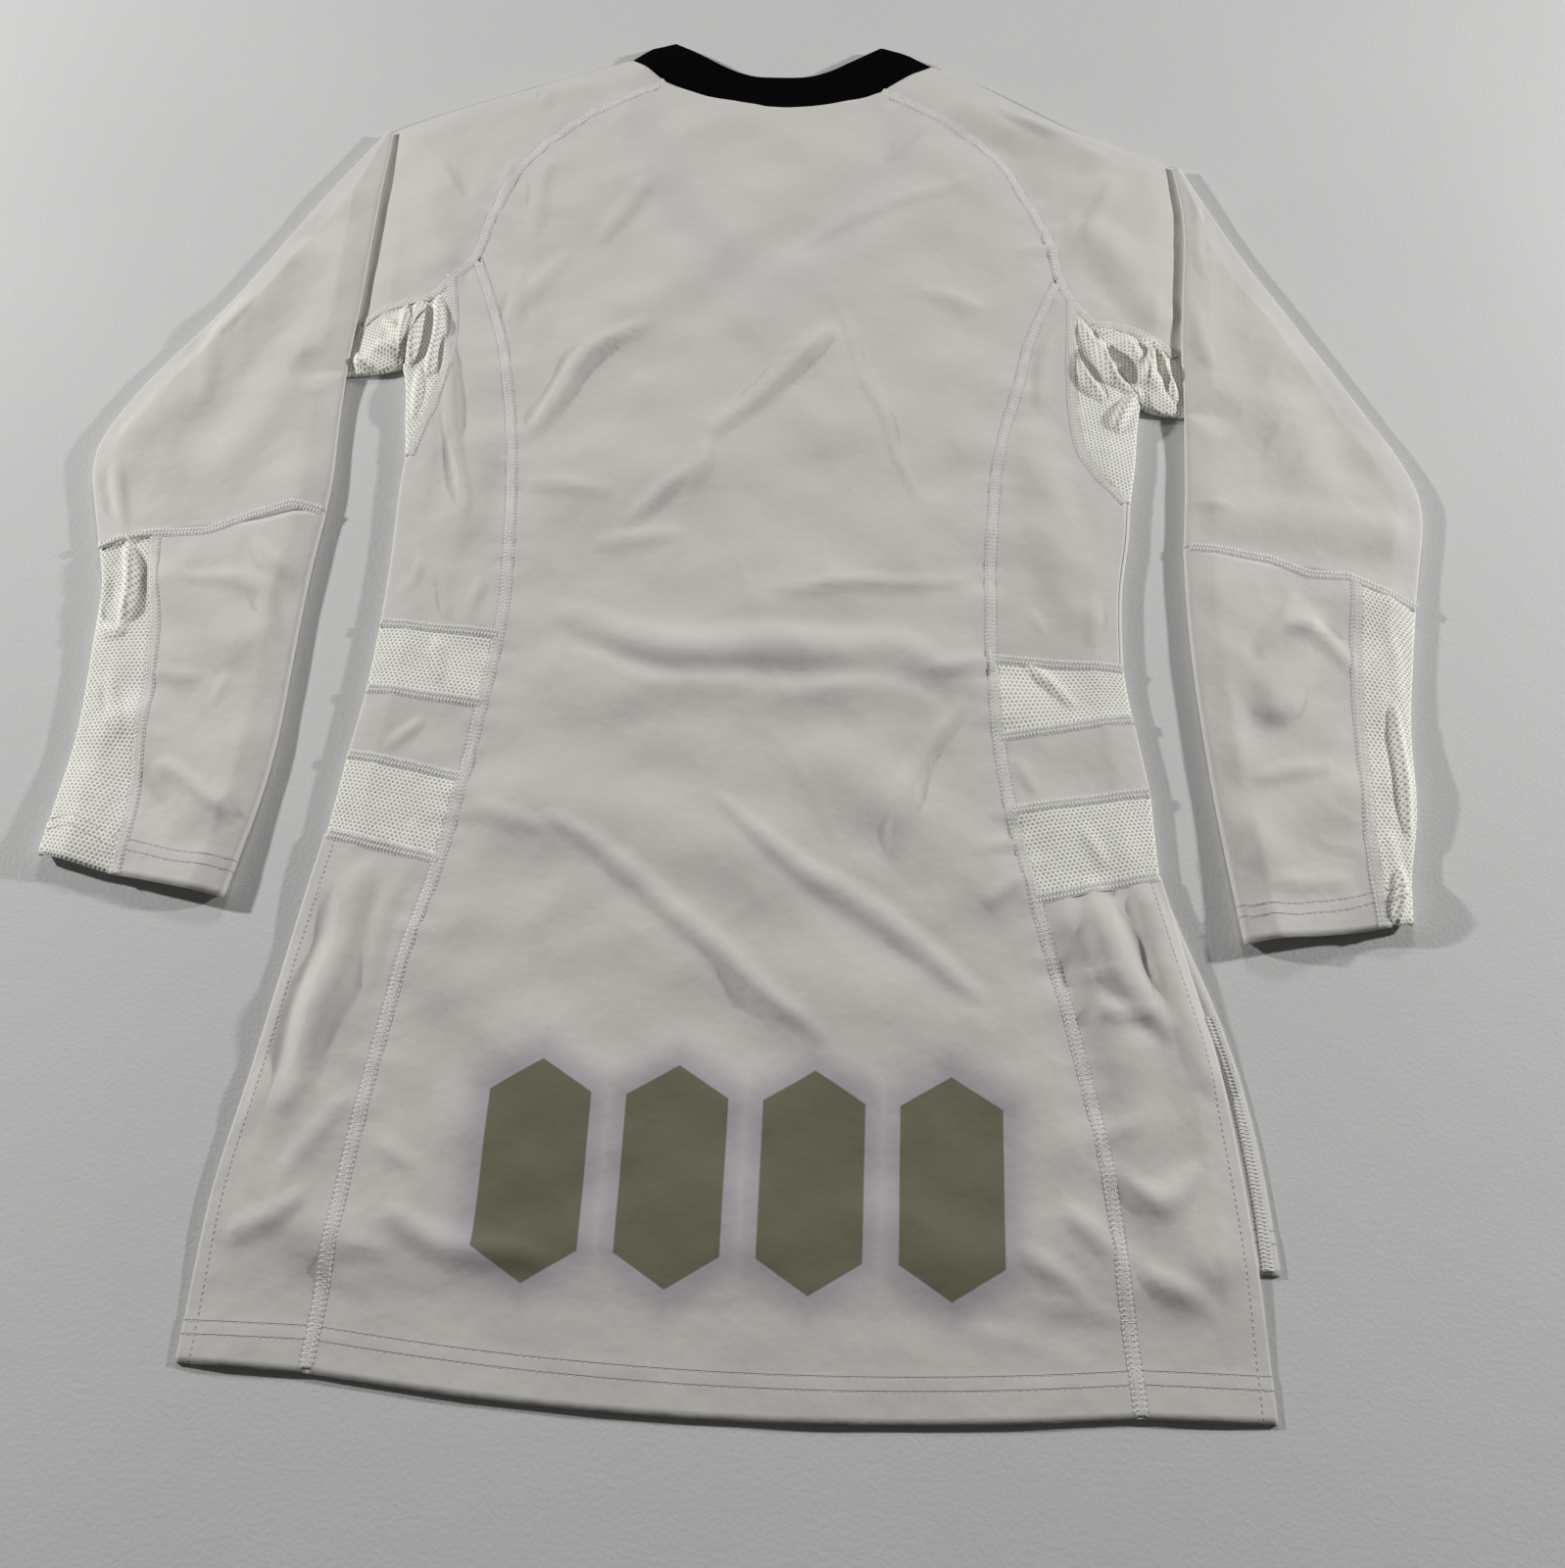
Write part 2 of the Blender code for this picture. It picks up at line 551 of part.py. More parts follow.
def skirt_side(side, front):
    """Side panel below the bands. The slit leaves its outer edge free."""
    grid = []
    for seam_y, edge_y in band_stretches(side)["front_skirt" if front else "skirt"]:
        start = seam_point(side, seam_y)
        edge = side["front_skirt"] if front else side["edge"]
        end = np.array((x_at(edge, edge_y), edge_y))
        if front:
            grid.append(flat(straight(start, end, COLUMNS_SIDE_LOWER)))
        else:
            grid.append(raised(straight(start, end, COLUMNS_SIDE), body_height))
    return inset(grid, rows=(True, False), columns=(True, False))


def body_gusset(side):
    """Mesh gusset of the body: from the armhole and its inner seam round the side edge."""
    out = side["out"]
    starts = [side["underarm"]] + list(spread(side["gusset"], ROWS_GUSSET))
    top_y, tip_y = side["edge"][0][1], side["gusset"][-1][1] + TIP_GAP
    turns = [unit(side["corner_turn"]), unit((out, GUSSET_OUTWARD))]
    last = len(starts) - 1
    grid = []
    for k, start in enumerate(starts):
        fold = edge_point(side, float(mix(top_y, tip_y, (k / last) ** GUSSET_CROWD)))
        outward = turns[k] if k < len(turns) else (out, 0.0)
        grid.append(wrap(start, fold, start, outward, body_height, COLUMNS_GUSSET, COLUMNS_SIDE_LOWER))
    grid = cut_corner(inset(grid, rows=(True, False)), 0, 1)
    grid[-1, :COLUMNS_GUSSET] = grid[-1, COLUMNS_GUSSET]
    grid[-1, -COLUMNS_SIDE_LOWER:] = grid[-1, -COLUMNS_SIDE_LOWER - 1]
    return [grid]


def valley_x(side, y):
    """Middle of the hidden fold of the pleat, and the line of the underarm seam below it."""
    top = (side["pleat_top"] - y) / (side["pleat_top"] - side["gusset_top"][0][1])
    depth = mix(PLEAT_DEPTH_TOP, PLEAT_DEPTH_LOW, min(max(top, 0.0), 1.0))
    return x_at(side["inner"], y) + side["out"] * float(depth - VALLEY_RADIUS - HALF)


def shoulder_rows(side, front):
    """Plan of the shoulder part of the sleeve: rows from the hidden fold to the raglan seam."""
    ends = [side["collar_tip"]] + list(border(side, front)[:ROWS_RAGLAN + 1])
    ends += [side["armhole"], side["underarm"]]
    last = len(ends) - 1
    low_y = side["gusset_top"][0][1]
    first = turned_shoulder(side)
    lowest = spread(side["gusset_top"], BORDER_STEPS)
    shares = np.linspace(0.0, 1.0, BORDER_STEPS + 1)
    rows = []
    for i, end in enumerate(ends):
        y = float(mix(side["pleat_top"], low_y, i / last))
        start = np.array((valley_x(side, y), y))
        near = (x_at(side["inner"], y) - side["out"] * 0.001 - start[0]) / (end[0] - start[0])
        marks = [0.0] + list(np.linspace(near, 1.0, COLUMNS_SHOULDER))
        row = []
        for j, u in enumerate(marks):
            point = mix(start, end, u)
            curve = np.array([np.interp(u, shares, lowest[:, axis]) for axis in (0, 1)])
            point = point + (curve - mix(lowest[0], lowest[-1], u)) * (i / last) ** 3
            upper = first[j][0]
            bend = upper - mix(first[0][0], first[-1][0], marks_of(first)[j])
            point = point + bend * (1 - i / last) ** 3 if 0 < i else upper
            row.append(point)
        rows.append(row)
    return rows


def marks_of(first):
    start, end = first[0][0], first[-1][0]
    return [float(np.dot(p[0] - start, end - start) / np.dot(end - start, end - start)) for p in first]


def turned_shoulder(side):
    """Where the cloth begins to turn over the shoulder line: plan, outward direction and height."""
    line = spread(side["shoulder"], COLUMNS_SHOULDER)
    top_y = side["pleat_top"]
    points = [(np.array((valley_x(side, top_y), top_y)), unit((side["out"], TIP_OUTWARD)), UPPER_Z)]
    for k in range(COLUMNS_SHOULDER):
        fold = line[k + 1] if k else line[0] + (line[1] - line[0]) * TIP_SHARE
        run = line[min(k + 2, COLUMNS_SHOULDER)] - line[k]
        outward = unit((side["out"] * abs(run[1]), abs(run[0])))
        if k == COLUMNS_SHOULDER - 1:
            outward = unit(side["tip_turn"])
        z = pressed_height(side, fold)
        radius = (z - HALF) / 2
        points.append((fold - outward * (radius + HALF), outward, z))
    return points


def sleeve_height(side, point, inner_z):
    """Middle of the upper layer of the sleeve."""
    outer = abs(point[0] - x_at(side["outer"], point[1]))
    inner = abs(point[0] - x_at(side["inner"], point[1]))
    lift = max(EDGE_LIFT * (1 - ease(outer / EDGE_REACH)),
               (inner_z - UPPER_Z) * (1 - ease(inner / PLEAT_REACH)))
    return UPPER_Z + lift + fold_height(point) * min(1.0, min(outer, inner) / CLEAR_REACH)


def sleeve_row(side, y_in, y_out, bulge):
    """Plan of one row across a sleeve: x and y from its inner to its outer edge by share u."""
    inner, outer = x_at(side["inner"], y_in), x_at(side["outer"], y_out)

    def at(x):
        u = (x - inner) / (outer - inner)
        lift = sum(weight * np.interp(u, *zip(*table)) for table, weight in bulge)
        return np.array((x, float(mix(y_in, y_out, u)) + lift))

    return inner, outer, at


def arm_section(side, y_in, y_out, bulge, inner_z, under_z):
    """One row of the upper sleeve, from the underarm line round both edges to the pleat."""
    out = side["out"]
    inner, outer, at = sleeve_row(side, y_in, y_out, bulge)
    under = valley_x(side, y_in)
    outer_turn = (TUBE_Z - HALF) / 2
    inner_turn = (inner_z - under_z) / 2
    outer_centre = at(outer - out * (outer_turn + HALF))
    inner_centre = at(inner + out * (inner_turn + HALF))
    strip = mix(inner_centre, outer_centre, side["strip_share"])
    strip = at(float(strip[0]))
    under_point = at(under)

    def height(point):
        return sleeve_height(side, point, inner_z)

    section = flat([under_point, strip, outer_centre])
    section += turn(outer_centre, (out, 0.0), HALF, TUBE_Z, TURN_STEPS)
    top = raised(straight(outer_centre, strip, COLUMNS_STRIP)
                 + straight(strip, inner_centre, COLUMNS_ARM)[1:], height)
    top[0][2] = TUBE_Z
    top[-1][2] = inner_z
    section += top
    section += turn(inner_centre, (-out, 0.0), inner_z, under_z, PLEAT_STEPS)
    section += [np.array((*inner_centre, under_z)), np.array((*under_point, under_z))]
    return section


def upper_sleeve(side):
    """Raglan sleeve to the elbow: arm part, pleat, shoulder part, and its front below them."""
    out = side["out"]
    shoulder = shoulder_rows(side, False)
    lower = shoulder_rows(side, True)
    first = turned_shoulder(side)
    last = len(shoulder) - 1
    low_y = side["gusset_top"][0][1]
    pressed = functools.partial(pressed_height, side)
    arm, pleat = [], []
    for i in range(last + 1):
        y = float(mix(side["pleat_top"], low_y, i / last))
        inner_z = float(mix(PLEAT_Z_TOP, PLEAT_Z, ease(i / PLEAT_RISE_ROWS)))
        arm.append(arm_section(side, y, y, (), inner_z, TURNED_Z))
        centre = (valley_x(side, y), y)
        row = [arm[-1][-1]] + turn(centre, (out, 0.0), TURNED_Z, UPPER_Z, PLEAT_STEPS)
        points = raised(shoulder[i], pressed)
        points[0][2] = UPPER_Z
        if i == 0:
            for point, (_, _, z) in zip(points, first):
                point[2] = z
        pleat.append(row + points)
    for y, under_z in ((low_y - CROTCH_DROP, TURNED_Z), (low_y - CROTCH_DROP - CROTCH_LENGTH, HALF)):
        inner_z = PLEAT_Z_CROTCH if under_z > HALF else UNDERARM_Z
        arm.append(arm_section(side, y, y, (), inner_z, under_z))
    start_y = low_y - CROTCH_DROP - CROTCH_LENGTH
    for k in range(1, ROWS_ARM + 1):
        y_in = float(mix(start_y, side["elbow"][0], k / ROWS_ARM))
        y_out = float(mix(start_y, side["elbow"][1], k / ROWS_ARM))
        bulge = ((side["elbow_bulge"], max(0.0, k - 1) / (ROWS_ARM - 1)),)
        arm.append(arm_section(side, y_in, y_out, bulge, TUBE_Z, HALF))
    arm = inset(arm, rows=(False, True), columns=(False, False))
    for i in range(last + 1, len(arm)):
        step = SEAM_GAP / 2 * out
        arm[i, 0, 0] += step
        arm[i, -1, 0] -= step
    pleat = inset(pleat, rows=(False, True), columns=(False, True))
    below = inset([flat(row) for row in lower], rows=(False, True), columns=(False, True))
    over = []
    for k, (centre, outward, z) in enumerate(first):
        start = pleat[0, PLEAT_STEPS + k]
        below[0, k, :2] = start[:2]
        over.append([start] + turn(start[:2], outward, z, HALF, PLEAT_STEPS) + [below[0, k]])
    over = np.array(over)
    arm[last, -1] = pleat[last, 0]
    arm[last, 0] = below[last, 0]
    return [arm, pleat, over, below]


def sleeve_gusset(side):
    """Mesh gusset of the sleeve: from the shoulder part round the underarm fold to the front."""
    tops = list(reversed(shoulder_rows(side, False)[-1]))
    folds = spread(side["crotch"], len(tops) - 1)
    pressed = functools.partial(pressed_height, side)
    grid = []
    for k, (top, fold) in enumerate(zip(tops, folds)):
        outward = unit(mix(unit(side["corner_turn"]), (0.0, -1.0), min(1.0, k / 2)))
        fold = np.array((mix(fold[0], top[0], ease(k / (len(tops) - 1))), fold[1]))
        grid.append(wrap(top, fold, top, outward, pressed, COLUMNS_GUSSET, COLUMNS_SIDE_LOWER))
    grid = cut_corner(inset(grid), 0, 1)
    return [cut_corner(grid, -1, -2)]


def forearm(side, mesh):
    """Lower sleeve: the plain piece round the inner edge, or the mesh strip round the outer."""
    out = side["out"]
    radius = (TUBE_Z - HALF) / 2

    def height(point):
        return sleeve_height(side, point, TUBE_Z)

    grid = []
    for k in range(ROWS_FOREARM + 1):
        t = k / ROWS_FOREARM
        y_in = float(mix(side["elbow"][0], side["cuff"][0], t))
        y_out = float(mix(side["elbow"][1], side["cuff"][1], t))
        bulge = ((side["elbow_bulge"], max(0.0, 1 - k / BULGE_ROWS)),
                 (side["cuff_bulge"], max(0.0, 1 - (ROWS_FOREARM - k) / BULGE_ROWS)))
        inner, outer, at = sleeve_row(side, y_in, y_out, bulge)
        edges = (inner + out * (radius + HALF), outer - out * (radius + HALF))
        if k == 0:
            seam = at(float(mix(*edges, side["strip_share"])))
        else:
            seam = at(x_at(side["strip"], mix(y_in, y_out, STRIP_LEVEL)))
        direction = out if mesh else -out
        centre = at(edges[1] if mesh else edges[0])
        top = raised(straight(seam, centre, COLUMNS_STRIP if mesh else COLUMNS_ARM), height)
        top[-1][2] = TUBE_Z
        section = top + turn(centre, (direction, 0.0), TUBE_Z, HALF, TURN_STEPS)
        if mesh:
            section += flat([centre, seam])
        else:
            section += flat([centre, at(valley_x(side, y_in)), seam])
        grid.append(section)
    return [inset(grid, rows=(True, False))]


def build():
    for item in list(bpy.data.objects):
        bpy.data.objects.remove(item, do_unlink=True)
    make_piece("back_panel", [panel(False)], CLOTH)
    make_piece("front_panel", [panel(True)], CLOTH)
    make_piece("collar_band", [collar()], COLLAR)
    for name, side in SIDES:
        back, front = side_upper(side)
        make_piece("side_back_" + name, back, CLOTH)
        make_piece("side_front_" + name, front, CLOTH)
        make_piece("band_mesh_upper_" + name, [side_band(side, "b")], MESH)
        make_piece("band_plain_" + name, [side_band(side, "c")], CLOTH)
        make_piece("band_mesh_lower_" + name, [side_band(side, "d")], MESH)
        make_piece("skirt_back_" + name, [skirt_side(side, False)], CLOTH)
        make_piece("skirt_front_" + name, [skirt_side(side, True)], CLOTH)
        make_piece("body_gusset_" + name, body_gusset(side), MESH)
        make_piece("sleeve_gusset_" + name, sleeve_gusset(side), MESH)
        make_piece("upper_sleeve_" + name, upper_sleeve(side), CLOTH)
        make_piece("forearm_" + name, forearm(side, False), CLOTH)
        make_piece("forearm_mesh_" + name, forearm(side, True), MESH)


if __name__ == "__main__":
    build()
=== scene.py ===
"""Looks of a taekwondo jacket with raglan sleeves, lying flat on a table with its back side up.

Units are metres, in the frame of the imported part: +X is to the wearer's right sleeve, +Y points to
the collar, +Z up, and the table is z = 0.

Each piece of cloth starts as the same grids that its solid is made of. It is subdivided, given its
folds, creases and puckers, and then a thin wall. Tape and stitches are laid on the finished cloth.
"""
import functools
import math

import bmesh
import bpy
import numpy as np
from mathutils import Matrix, Vector
from mathutils.bvhtree import BVHTree
from mathutils.noise import ridged_multi_fractal


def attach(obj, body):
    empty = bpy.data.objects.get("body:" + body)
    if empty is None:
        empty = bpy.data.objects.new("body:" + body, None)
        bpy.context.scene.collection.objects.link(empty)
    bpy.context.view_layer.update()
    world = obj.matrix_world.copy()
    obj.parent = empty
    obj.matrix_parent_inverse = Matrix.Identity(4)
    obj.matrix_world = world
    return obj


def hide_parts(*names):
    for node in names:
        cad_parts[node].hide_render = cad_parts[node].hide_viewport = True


# Cloth and layers
WALL = 0.0012
HALF = WALL / 2
SEAM_GAP = 0.0003
LAYER_STEP = 0.0016
UPPER_Z = HALF + LAYER_STEP
TURNED_Z = UPPER_Z + 0.0017
EDGE_LIFT = 0.0032
EDGE_REACH = 0.036
CLEAR_REACH = 0.018
LIFT_FADE = 0.050
FRAME_SHIFT = np.array((0.00007, 0.00125, 0.0))

# Rows and columns of the grids
COLUMNS_BACK = 16
COLUMNS_FRONT = 10
ROWS_RAGLAN = 7
ROWS_UPPER = 9
ROWS_GUSSET = 5
ROWS_BAND = 2
ROWS_SKIRT = 9
ROWS_FRONT_SKIRT = 6
ROWS_FOREARM = 8
TURN_STEPS = 4
PLEAT_STEPS = 3
COLUMNS_SIDE = 5
COLUMNS_SIDE_LOWER = 2
COLUMNS_SHOULDER = 6
COLUMNS_GUSSET = 3
COLUMNS_STRIP = 2
COLUMNS_ARM = 5

# Neck: ends of the folded collar, corners with the raglan seams, dip of the back edge
NECK_DIP = 0.020
COLLAR_TOP = ((-0.077, 0.470), (-0.054, 0.455), (-0.025, 0.438), (0.001, 0.435),
              (0.027, 0.439), (0.055, 0.455), (0.076, 0.470))
V_POINT_OUTER = (0.002, 0.205)
V_POINT_INNER = (0.002, 0.243)
HEM_DIP = 0.011
FRONT_HEM_Y = -0.394
FLAT_FROM_Y = -0.388
FLAT_TO_Y = -0.442
LIFT_END_Y = -0.250
HEM_FOLD_SHARE = 0.3
END_ROWS = 6
OPENING_ROWS = 14

# Heights of the four seams of the side bands: row, y at the princess seam, y at the side edge. Between
# them lie the upper mesh band, b, the plain band, c, and the lower mesh band, d.
BANDS_LEFT = (("a", -0.045, -0.040), ("b", -0.092, -0.085), ("c", -0.140, -0.128), ("d", -0.192, -0.178))
BANDS_RIGHT = (("a", -0.048, -0.053), ("b", -0.101, -0.086), ("c", -0.148, -0.133), ("d", -0.201, -0.184))

# The lines of each side, as x and y. Out is the way to the sleeve along X. Strip_share says where the
# mesh strip starts across the elbow. Bulges and rises go by share of the way across a sleeve from its
# inner edge: a bulge moves the line along Y, and cuff_rise stands the end's upper layer up.
LEFT = {
    "out": -1.0,
    "collar_tip": (-0.108, 0.451),
    "collar_corner": (-0.0815, 0.4275),
    "front_corner": (-0.110, 0.407),
    "tip_turn": (-0.47, 0.88),
    "arm_outer": ((-0.110, 0.407), (-0.098, 0.350), (-0.066, 0.285), (-0.030, 0.236), V_POINT_OUTER),
    "arm_inner": ((-0.080, 0.415), (-0.069, 0.362), (-0.043, 0.306), (-0.016, 0.264), V_POINT_INNER),
    "shoulder": ((-0.274, 0.3725), (-0.248, 0.387), (-0.181, 0.418), (-0.139, 0.438), (-0.108, 0.451)),
    "raglan": ((-0.0815, 0.4275), (-0.108, 0.410), (-0.129, 0.392), (-0.147, 0.376), (-0.163, 0.358),
               (-0.180, 0.330), (-0.190, 0.294), (-0.198, 0.255)),
    "armhole": (-0.2115, 0.232),
    "underarm": (-0.224, 0.216),
    "princess": ((-0.198, 0.255), (-0.182, 0.214), (-0.169, 0.174), (-0.157, 0.114), (-0.149, 0.049),
                 (-0.145, -0.011), (-0.145, -0.046), (-0.150, -0.101), (-0.160, -0.192), (-0.173, -0.261),
                 (-0.183, -0.356), (-0.188, -0.458)),
    "gusset": ((-0.2115, 0.232), (-0.206, 0.198), (-0.204, 0.165), (-0.206, 0.139), (-0.211, 0.112),
               (-0.2175, 0.084)),
    "edge": ((-0.234, 0.157), (-0.229, 0.137), (-0.226, 0.113), (-0.2215, 0.084), (-0.222, 0.060),
             (-0.219, 0.016), (-0.218, -0.040), (-0.219, -0.085), (-0.223, -0.128), (-0.2265, -0.178),
             (-0.235, -0.242), (-0.244, -0.323), (-0.251, -0.375), (-0.252, -0.458)),
    "crotch": ((-0.234, 0.157), (-0.247, 0.152), (-0.258, 0.150), (-0.2875, 0.1485)),
    "gusset_top": ((-0.2875, 0.160), (-0.271, 0.184), (-0.258, 0.200), (-0.244, 0.208), (-0.224, 0.216)),
    "front_skirt": ((-0.2265, -0.178), (-0.230, -0.242), (-0.237, -0.323), (-0.243, -0.394)),
    "pleat_top": 0.3695,
    "seam_on_top": False,
    "corner_turn": (-0.5, -0.87),
    "strip_share": 0.757,
    "outer": ((-0.275, 0.375), (-0.312, 0.304), (-0.356, 0.210), (-0.394, 0.146), (-0.417, 0.098),
              (-0.4225, 0.078), (-0.414, 0.050), (-0.400, 0.007), (-0.391, -0.020), (-0.388, -0.055),
              (-0.382, -0.118), (-0.383, -0.160), (-0.384, -0.199)),
    "inner": ((-0.272, 0.376), (-0.271, 0.290), (-0.269, 0.210), (-0.269, 0.153), (-0.267, 0.103),
              (-0.263, 0.057), (-0.264, 0.039), (-0.266, -0.018), (-0.265, -0.078), (-0.265, -0.141),
              (-0.276, -0.219)),
    "strip": ((-0.372, 0.150), (-0.370, 0.050), (-0.367, 0.015), (-0.351, -0.054), (-0.343, -0.120),
              (-0.337, -0.182), (-0.339, -0.210)),
    "elbow": (0.039, 0.007),
    "cuff": (-0.219, -0.199),
    "elbow_bulge": ((0.0, 0.0), (0.15, 0.008), (0.33, 0.007), (0.53, 0.000), (0.76, 0.003), (1.0, 0.0)),
    "cuff_bulge": ((0.0, 0.0), (0.30, -0.002), (0.62, -0.001), (0.85, 0.006), (1.0, 0.0)),
    "cuff_rise": ((0.0, 0.0022), (0.10, 0.0030), (0.35, 0.0020), (0.60, 0.0006), (0.68, 0.0008),
                  (0.85, 0.0035), (1.0, 0.0024)),
    "bands": BANDS_LEFT,
    "hem": (-0.460, -0.458),
}
RIGHT = {
    "out": 1.0,
    "collar_tip": (0.114, 0.454),
    "collar_corner": (0.077, 0.423),
    "front_corner": (0.114, 0.401),
    "tip_turn": (0.47, 0.88),
    "arm_outer": ((0.114, 0.401), (0.102, 0.350), (0.070, 0.285), (0.034, 0.236), V_POINT_OUTER),
    "arm_inner": ((0.084, 0.413), (0.073, 0.362), (0.047, 0.306), (0.020, 0.264), V_POINT_INNER),
    "shoulder": ((0.285, 0.3635), (0.246, 0.379), (0.205, 0.398), (0.149, 0.437), (0.114, 0.454)),
    "raglan": ((0.077, 0.423), (0.099, 0.412), (0.121, 0.398), (0.141, 0.381), (0.162, 0.356),
               (0.179, 0.321), (0.194, 0.284), (0.200, 0.252)),
    "armhole": (0.2075, 0.229),
    "underarm": (0.221, 0.210),
    "princess": ((0.200, 0.252), (0.179, 0.196), (0.170, 0.157), (0.158, 0.108), (0.151, 0.045),
                 (0.149, -0.026), (0.152, -0.093), (0.159, -0.148), (0.170, -0.198), (0.185, -0.257),
                 (0.203, -0.344), (0.210, -0.409), (0.215, -0.462)),
    "gusset": ((0.2075, 0.229), (0.205, 0.178), (0.205, 0.143), (0.208, 0.111), (0.218, 0.088),
               (0.2345, 0.067)),
    "edge": ((0.249, 0.145), (0.246, 0.125), (0.243, 0.094), (0.2385, 0.067), (0.236, 0.035),
             (0.230, 0.006), (0.228, -0.053), (0.232, -0.086), (0.239, -0.133), (0.241, -0.184),
             (0.251, -0.228), (0.264, -0.279), (0.270, -0.318), (0.277, -0.390), (0.280, -0.463)),
    "crotch": ((0.249, 0.145), (0.258, 0.141), (0.268, 0.139), (0.2955, 0.138)),
    "gusset_top": ((0.2955, 0.150), (0.281, 0.176), (0.266, 0.196), (0.244, 0.208), (0.221, 0.210)),
    "front_skirt": ((0.241, -0.184), (0.254, -0.224), (0.267, -0.258), (0.279, -0.305),
                    (0.285, -0.350), (0.288, -0.394)),
    "pleat_top": 0.3590,
    "seam_on_top": True,
    "corner_turn": (0.5, -0.87),
    "strip_share": 0.754,
    "outer": ((0.287, 0.364), (0.322, 0.284), (0.344, 0.241), (0.371, 0.189), (0.397, 0.138),
              (0.412, 0.108), (0.423, 0.076), (0.416, 0.042), (0.407, -0.003), (0.400, -0.042),
              (0.392, -0.090), (0.390, -0.139), (0.380, -0.177), (0.377, -0.206)),
    "inner": ((0.282, 0.366), (0.285, 0.338), (0.287, 0.300), (0.281, 0.230), (0.277, 0.186),
              (0.277, 0.158), (0.273, 0.080), (0.269, 0.036), (0.268, -0.025), (0.271, -0.090),
              (0.277, -0.162), (0.284, -0.222)),
    "strip": ((0.378, 0.150), (0.376, 0.050), (0.373, 0.008), (0.364, -0.057), (0.361, -0.107),
              (0.359, -0.160), (0.360, -0.210)),
    "elbow": (0.036, -0.003),
    "cuff": (-0.222, -0.206),
    "elbow_bulge": ((0.0, 0.0), (0.20, 0.005), (0.38, 0.008), (0.55, 0.004), (0.72, 0.010), (1.0, 0.0)),
    "cuff_bulge": ((0.0, 0.0), (0.30, -0.003), (0.62, -0.003), (0.85, -0.001), (1.0, 0.0)),
    "cuff_rise": ((0.0, 0.0025), (0.18, 0.0036), (0.38, 0.0016), (0.52, 0.0006), (0.68, 0.0012),
                  (0.85, 0.0025), (1.0, 0.0018)),
    "bands": BANDS_RIGHT,
    "hem": (-0.463, -0.463),
}
SIDES = (("left", LEFT), ("right", RIGHT))

# Sleeve pleat: the upper layer turns under along the inner line of the sleeve
PLEAT_DEPTH_TOP = 0.0033
PLEAT_DEPTH_LOW = 0.020
PLEAT_Z_TOP = 0.0056
PLEAT_Z = 0.0070
PLEAT_Z_CROTCH = 0.0064
PLEAT_RISE_ROWS = 4
UNDERARM_Z = UPPER_Z + 0.0034
TUBE_Z = UPPER_Z + EDGE_LIFT
PLEAT_REACH = 0.055
PRESSED_REACH = 0.014
CROTCH_DROP = 0.012
CROTCH_LENGTH = 0.017
VALLEY_RADIUS = 0.00085
TIP_GAP = 0.0006
TIP_OUTWARD = 2.5
TIP_SHARE = 0.25
BORDER_STEPS = 24
GUSSET_OUTWARD = -0.45
GUSSET_CROWD = 1.2
BULGE_ROWS = 3
CORNER_CUT = 0.0008
CORNER_CLEAR = 0.006
ARM_COVER = 0.001
CORNER_SHARES = (0.0, 0.1, 0.4, 1.0, 1.0, 1.0, 1.0, 1.0, 0.3, 0.0)
ROWS_ARM = 4
STRIP_LEVEL = 0.8

# Main folds of the upper layer: from x, y to x, y, half width, height
FOLDS = (
    (0.236, -0.200, 0.262, -0.290, 0.019, 0.0085),
    (0.196, -0.215, 0.224, -0.330, 0.022, 0.0035),
    (0.045, 0.350, -0.110, 0.180, 0.040, 0.0045),
    (0.140, 0.340, 0.000, 0.215, 0.038, 0.0040),
    (-0.030, 0.395, -0.130, 0.300, 0.034, 0.0035),
    (-0.100, -0.075, 0.120, -0.055, 0.036, 0.0040),
    (-0.120, 0.060, 0.060, 0.120, 0.048, 0.0030),
    (0.020, -0.020, 0.135, 0.050, 0.040, 0.0025),
    (-0.110, -0.150, 0.020, -0.180, 0.042, 0.0030),
    (0.060, -0.130, 0.150, -0.190, 0.036, 0.0035),
    (-0.150, -0.240, -0.060, -0.330, 0.040, 0.0030),
    (0.040, -0.260, 0.150, -0.300, 0.042, 0.0030),
    (-0.236, -0.330, -0.190, -0.400, 0.026, 0.0030),
    (0.215, -0.350, 0.250, -0.390, 0.024, 0.0030),
    (-0.172, 0.090, -0.185, 0.000, 0.022, 0.0030),
    (0.180, 0.110, 0.196, -0.010, 0.024, 0.0030),
    (-0.150, 0.420, -0.110, 0.360, 0.026, 0.0030),
    (0.140, 0.400, 0.225, 0.365, 0.022, 0.0040),
    (0.225, 0.290, 0.262, 0.225, 0.024, 0.0040),
    (-0.235, 0.330, -0.225, 0.250, 0.024, 0.0030),
    (-0.320, 0.240, -0.385, 0.100, 0.032, 0.0040),
    (-0.300, 0.160, -0.330, 0.070, 0.028, 0.0030),
    (0.330, 0.220, 0.350, 0.100, 0.034, 0.0035),
    (0.300, 0.060, 0.390, 0.050, 0.026, 0.0030),
    (-0.350, -0.020, -0.300, -0.060, 0.024, 0.0035),
    (-0.345, -0.110, -0.300, -0.165, 0.026, 0.0035),
    (0.335, -0.020, 0.312, -0.075, 0.018, 0.0055),
    (0.350, -0.130, 0.300, -0.160, 0.026, 0.0035),
    (-0.238, 0.190, -0.236, 0.165, 0.014, 0.0040),
    (0.243, 0.190, 0.258, 0.165, 0.014, 0.0055),
)


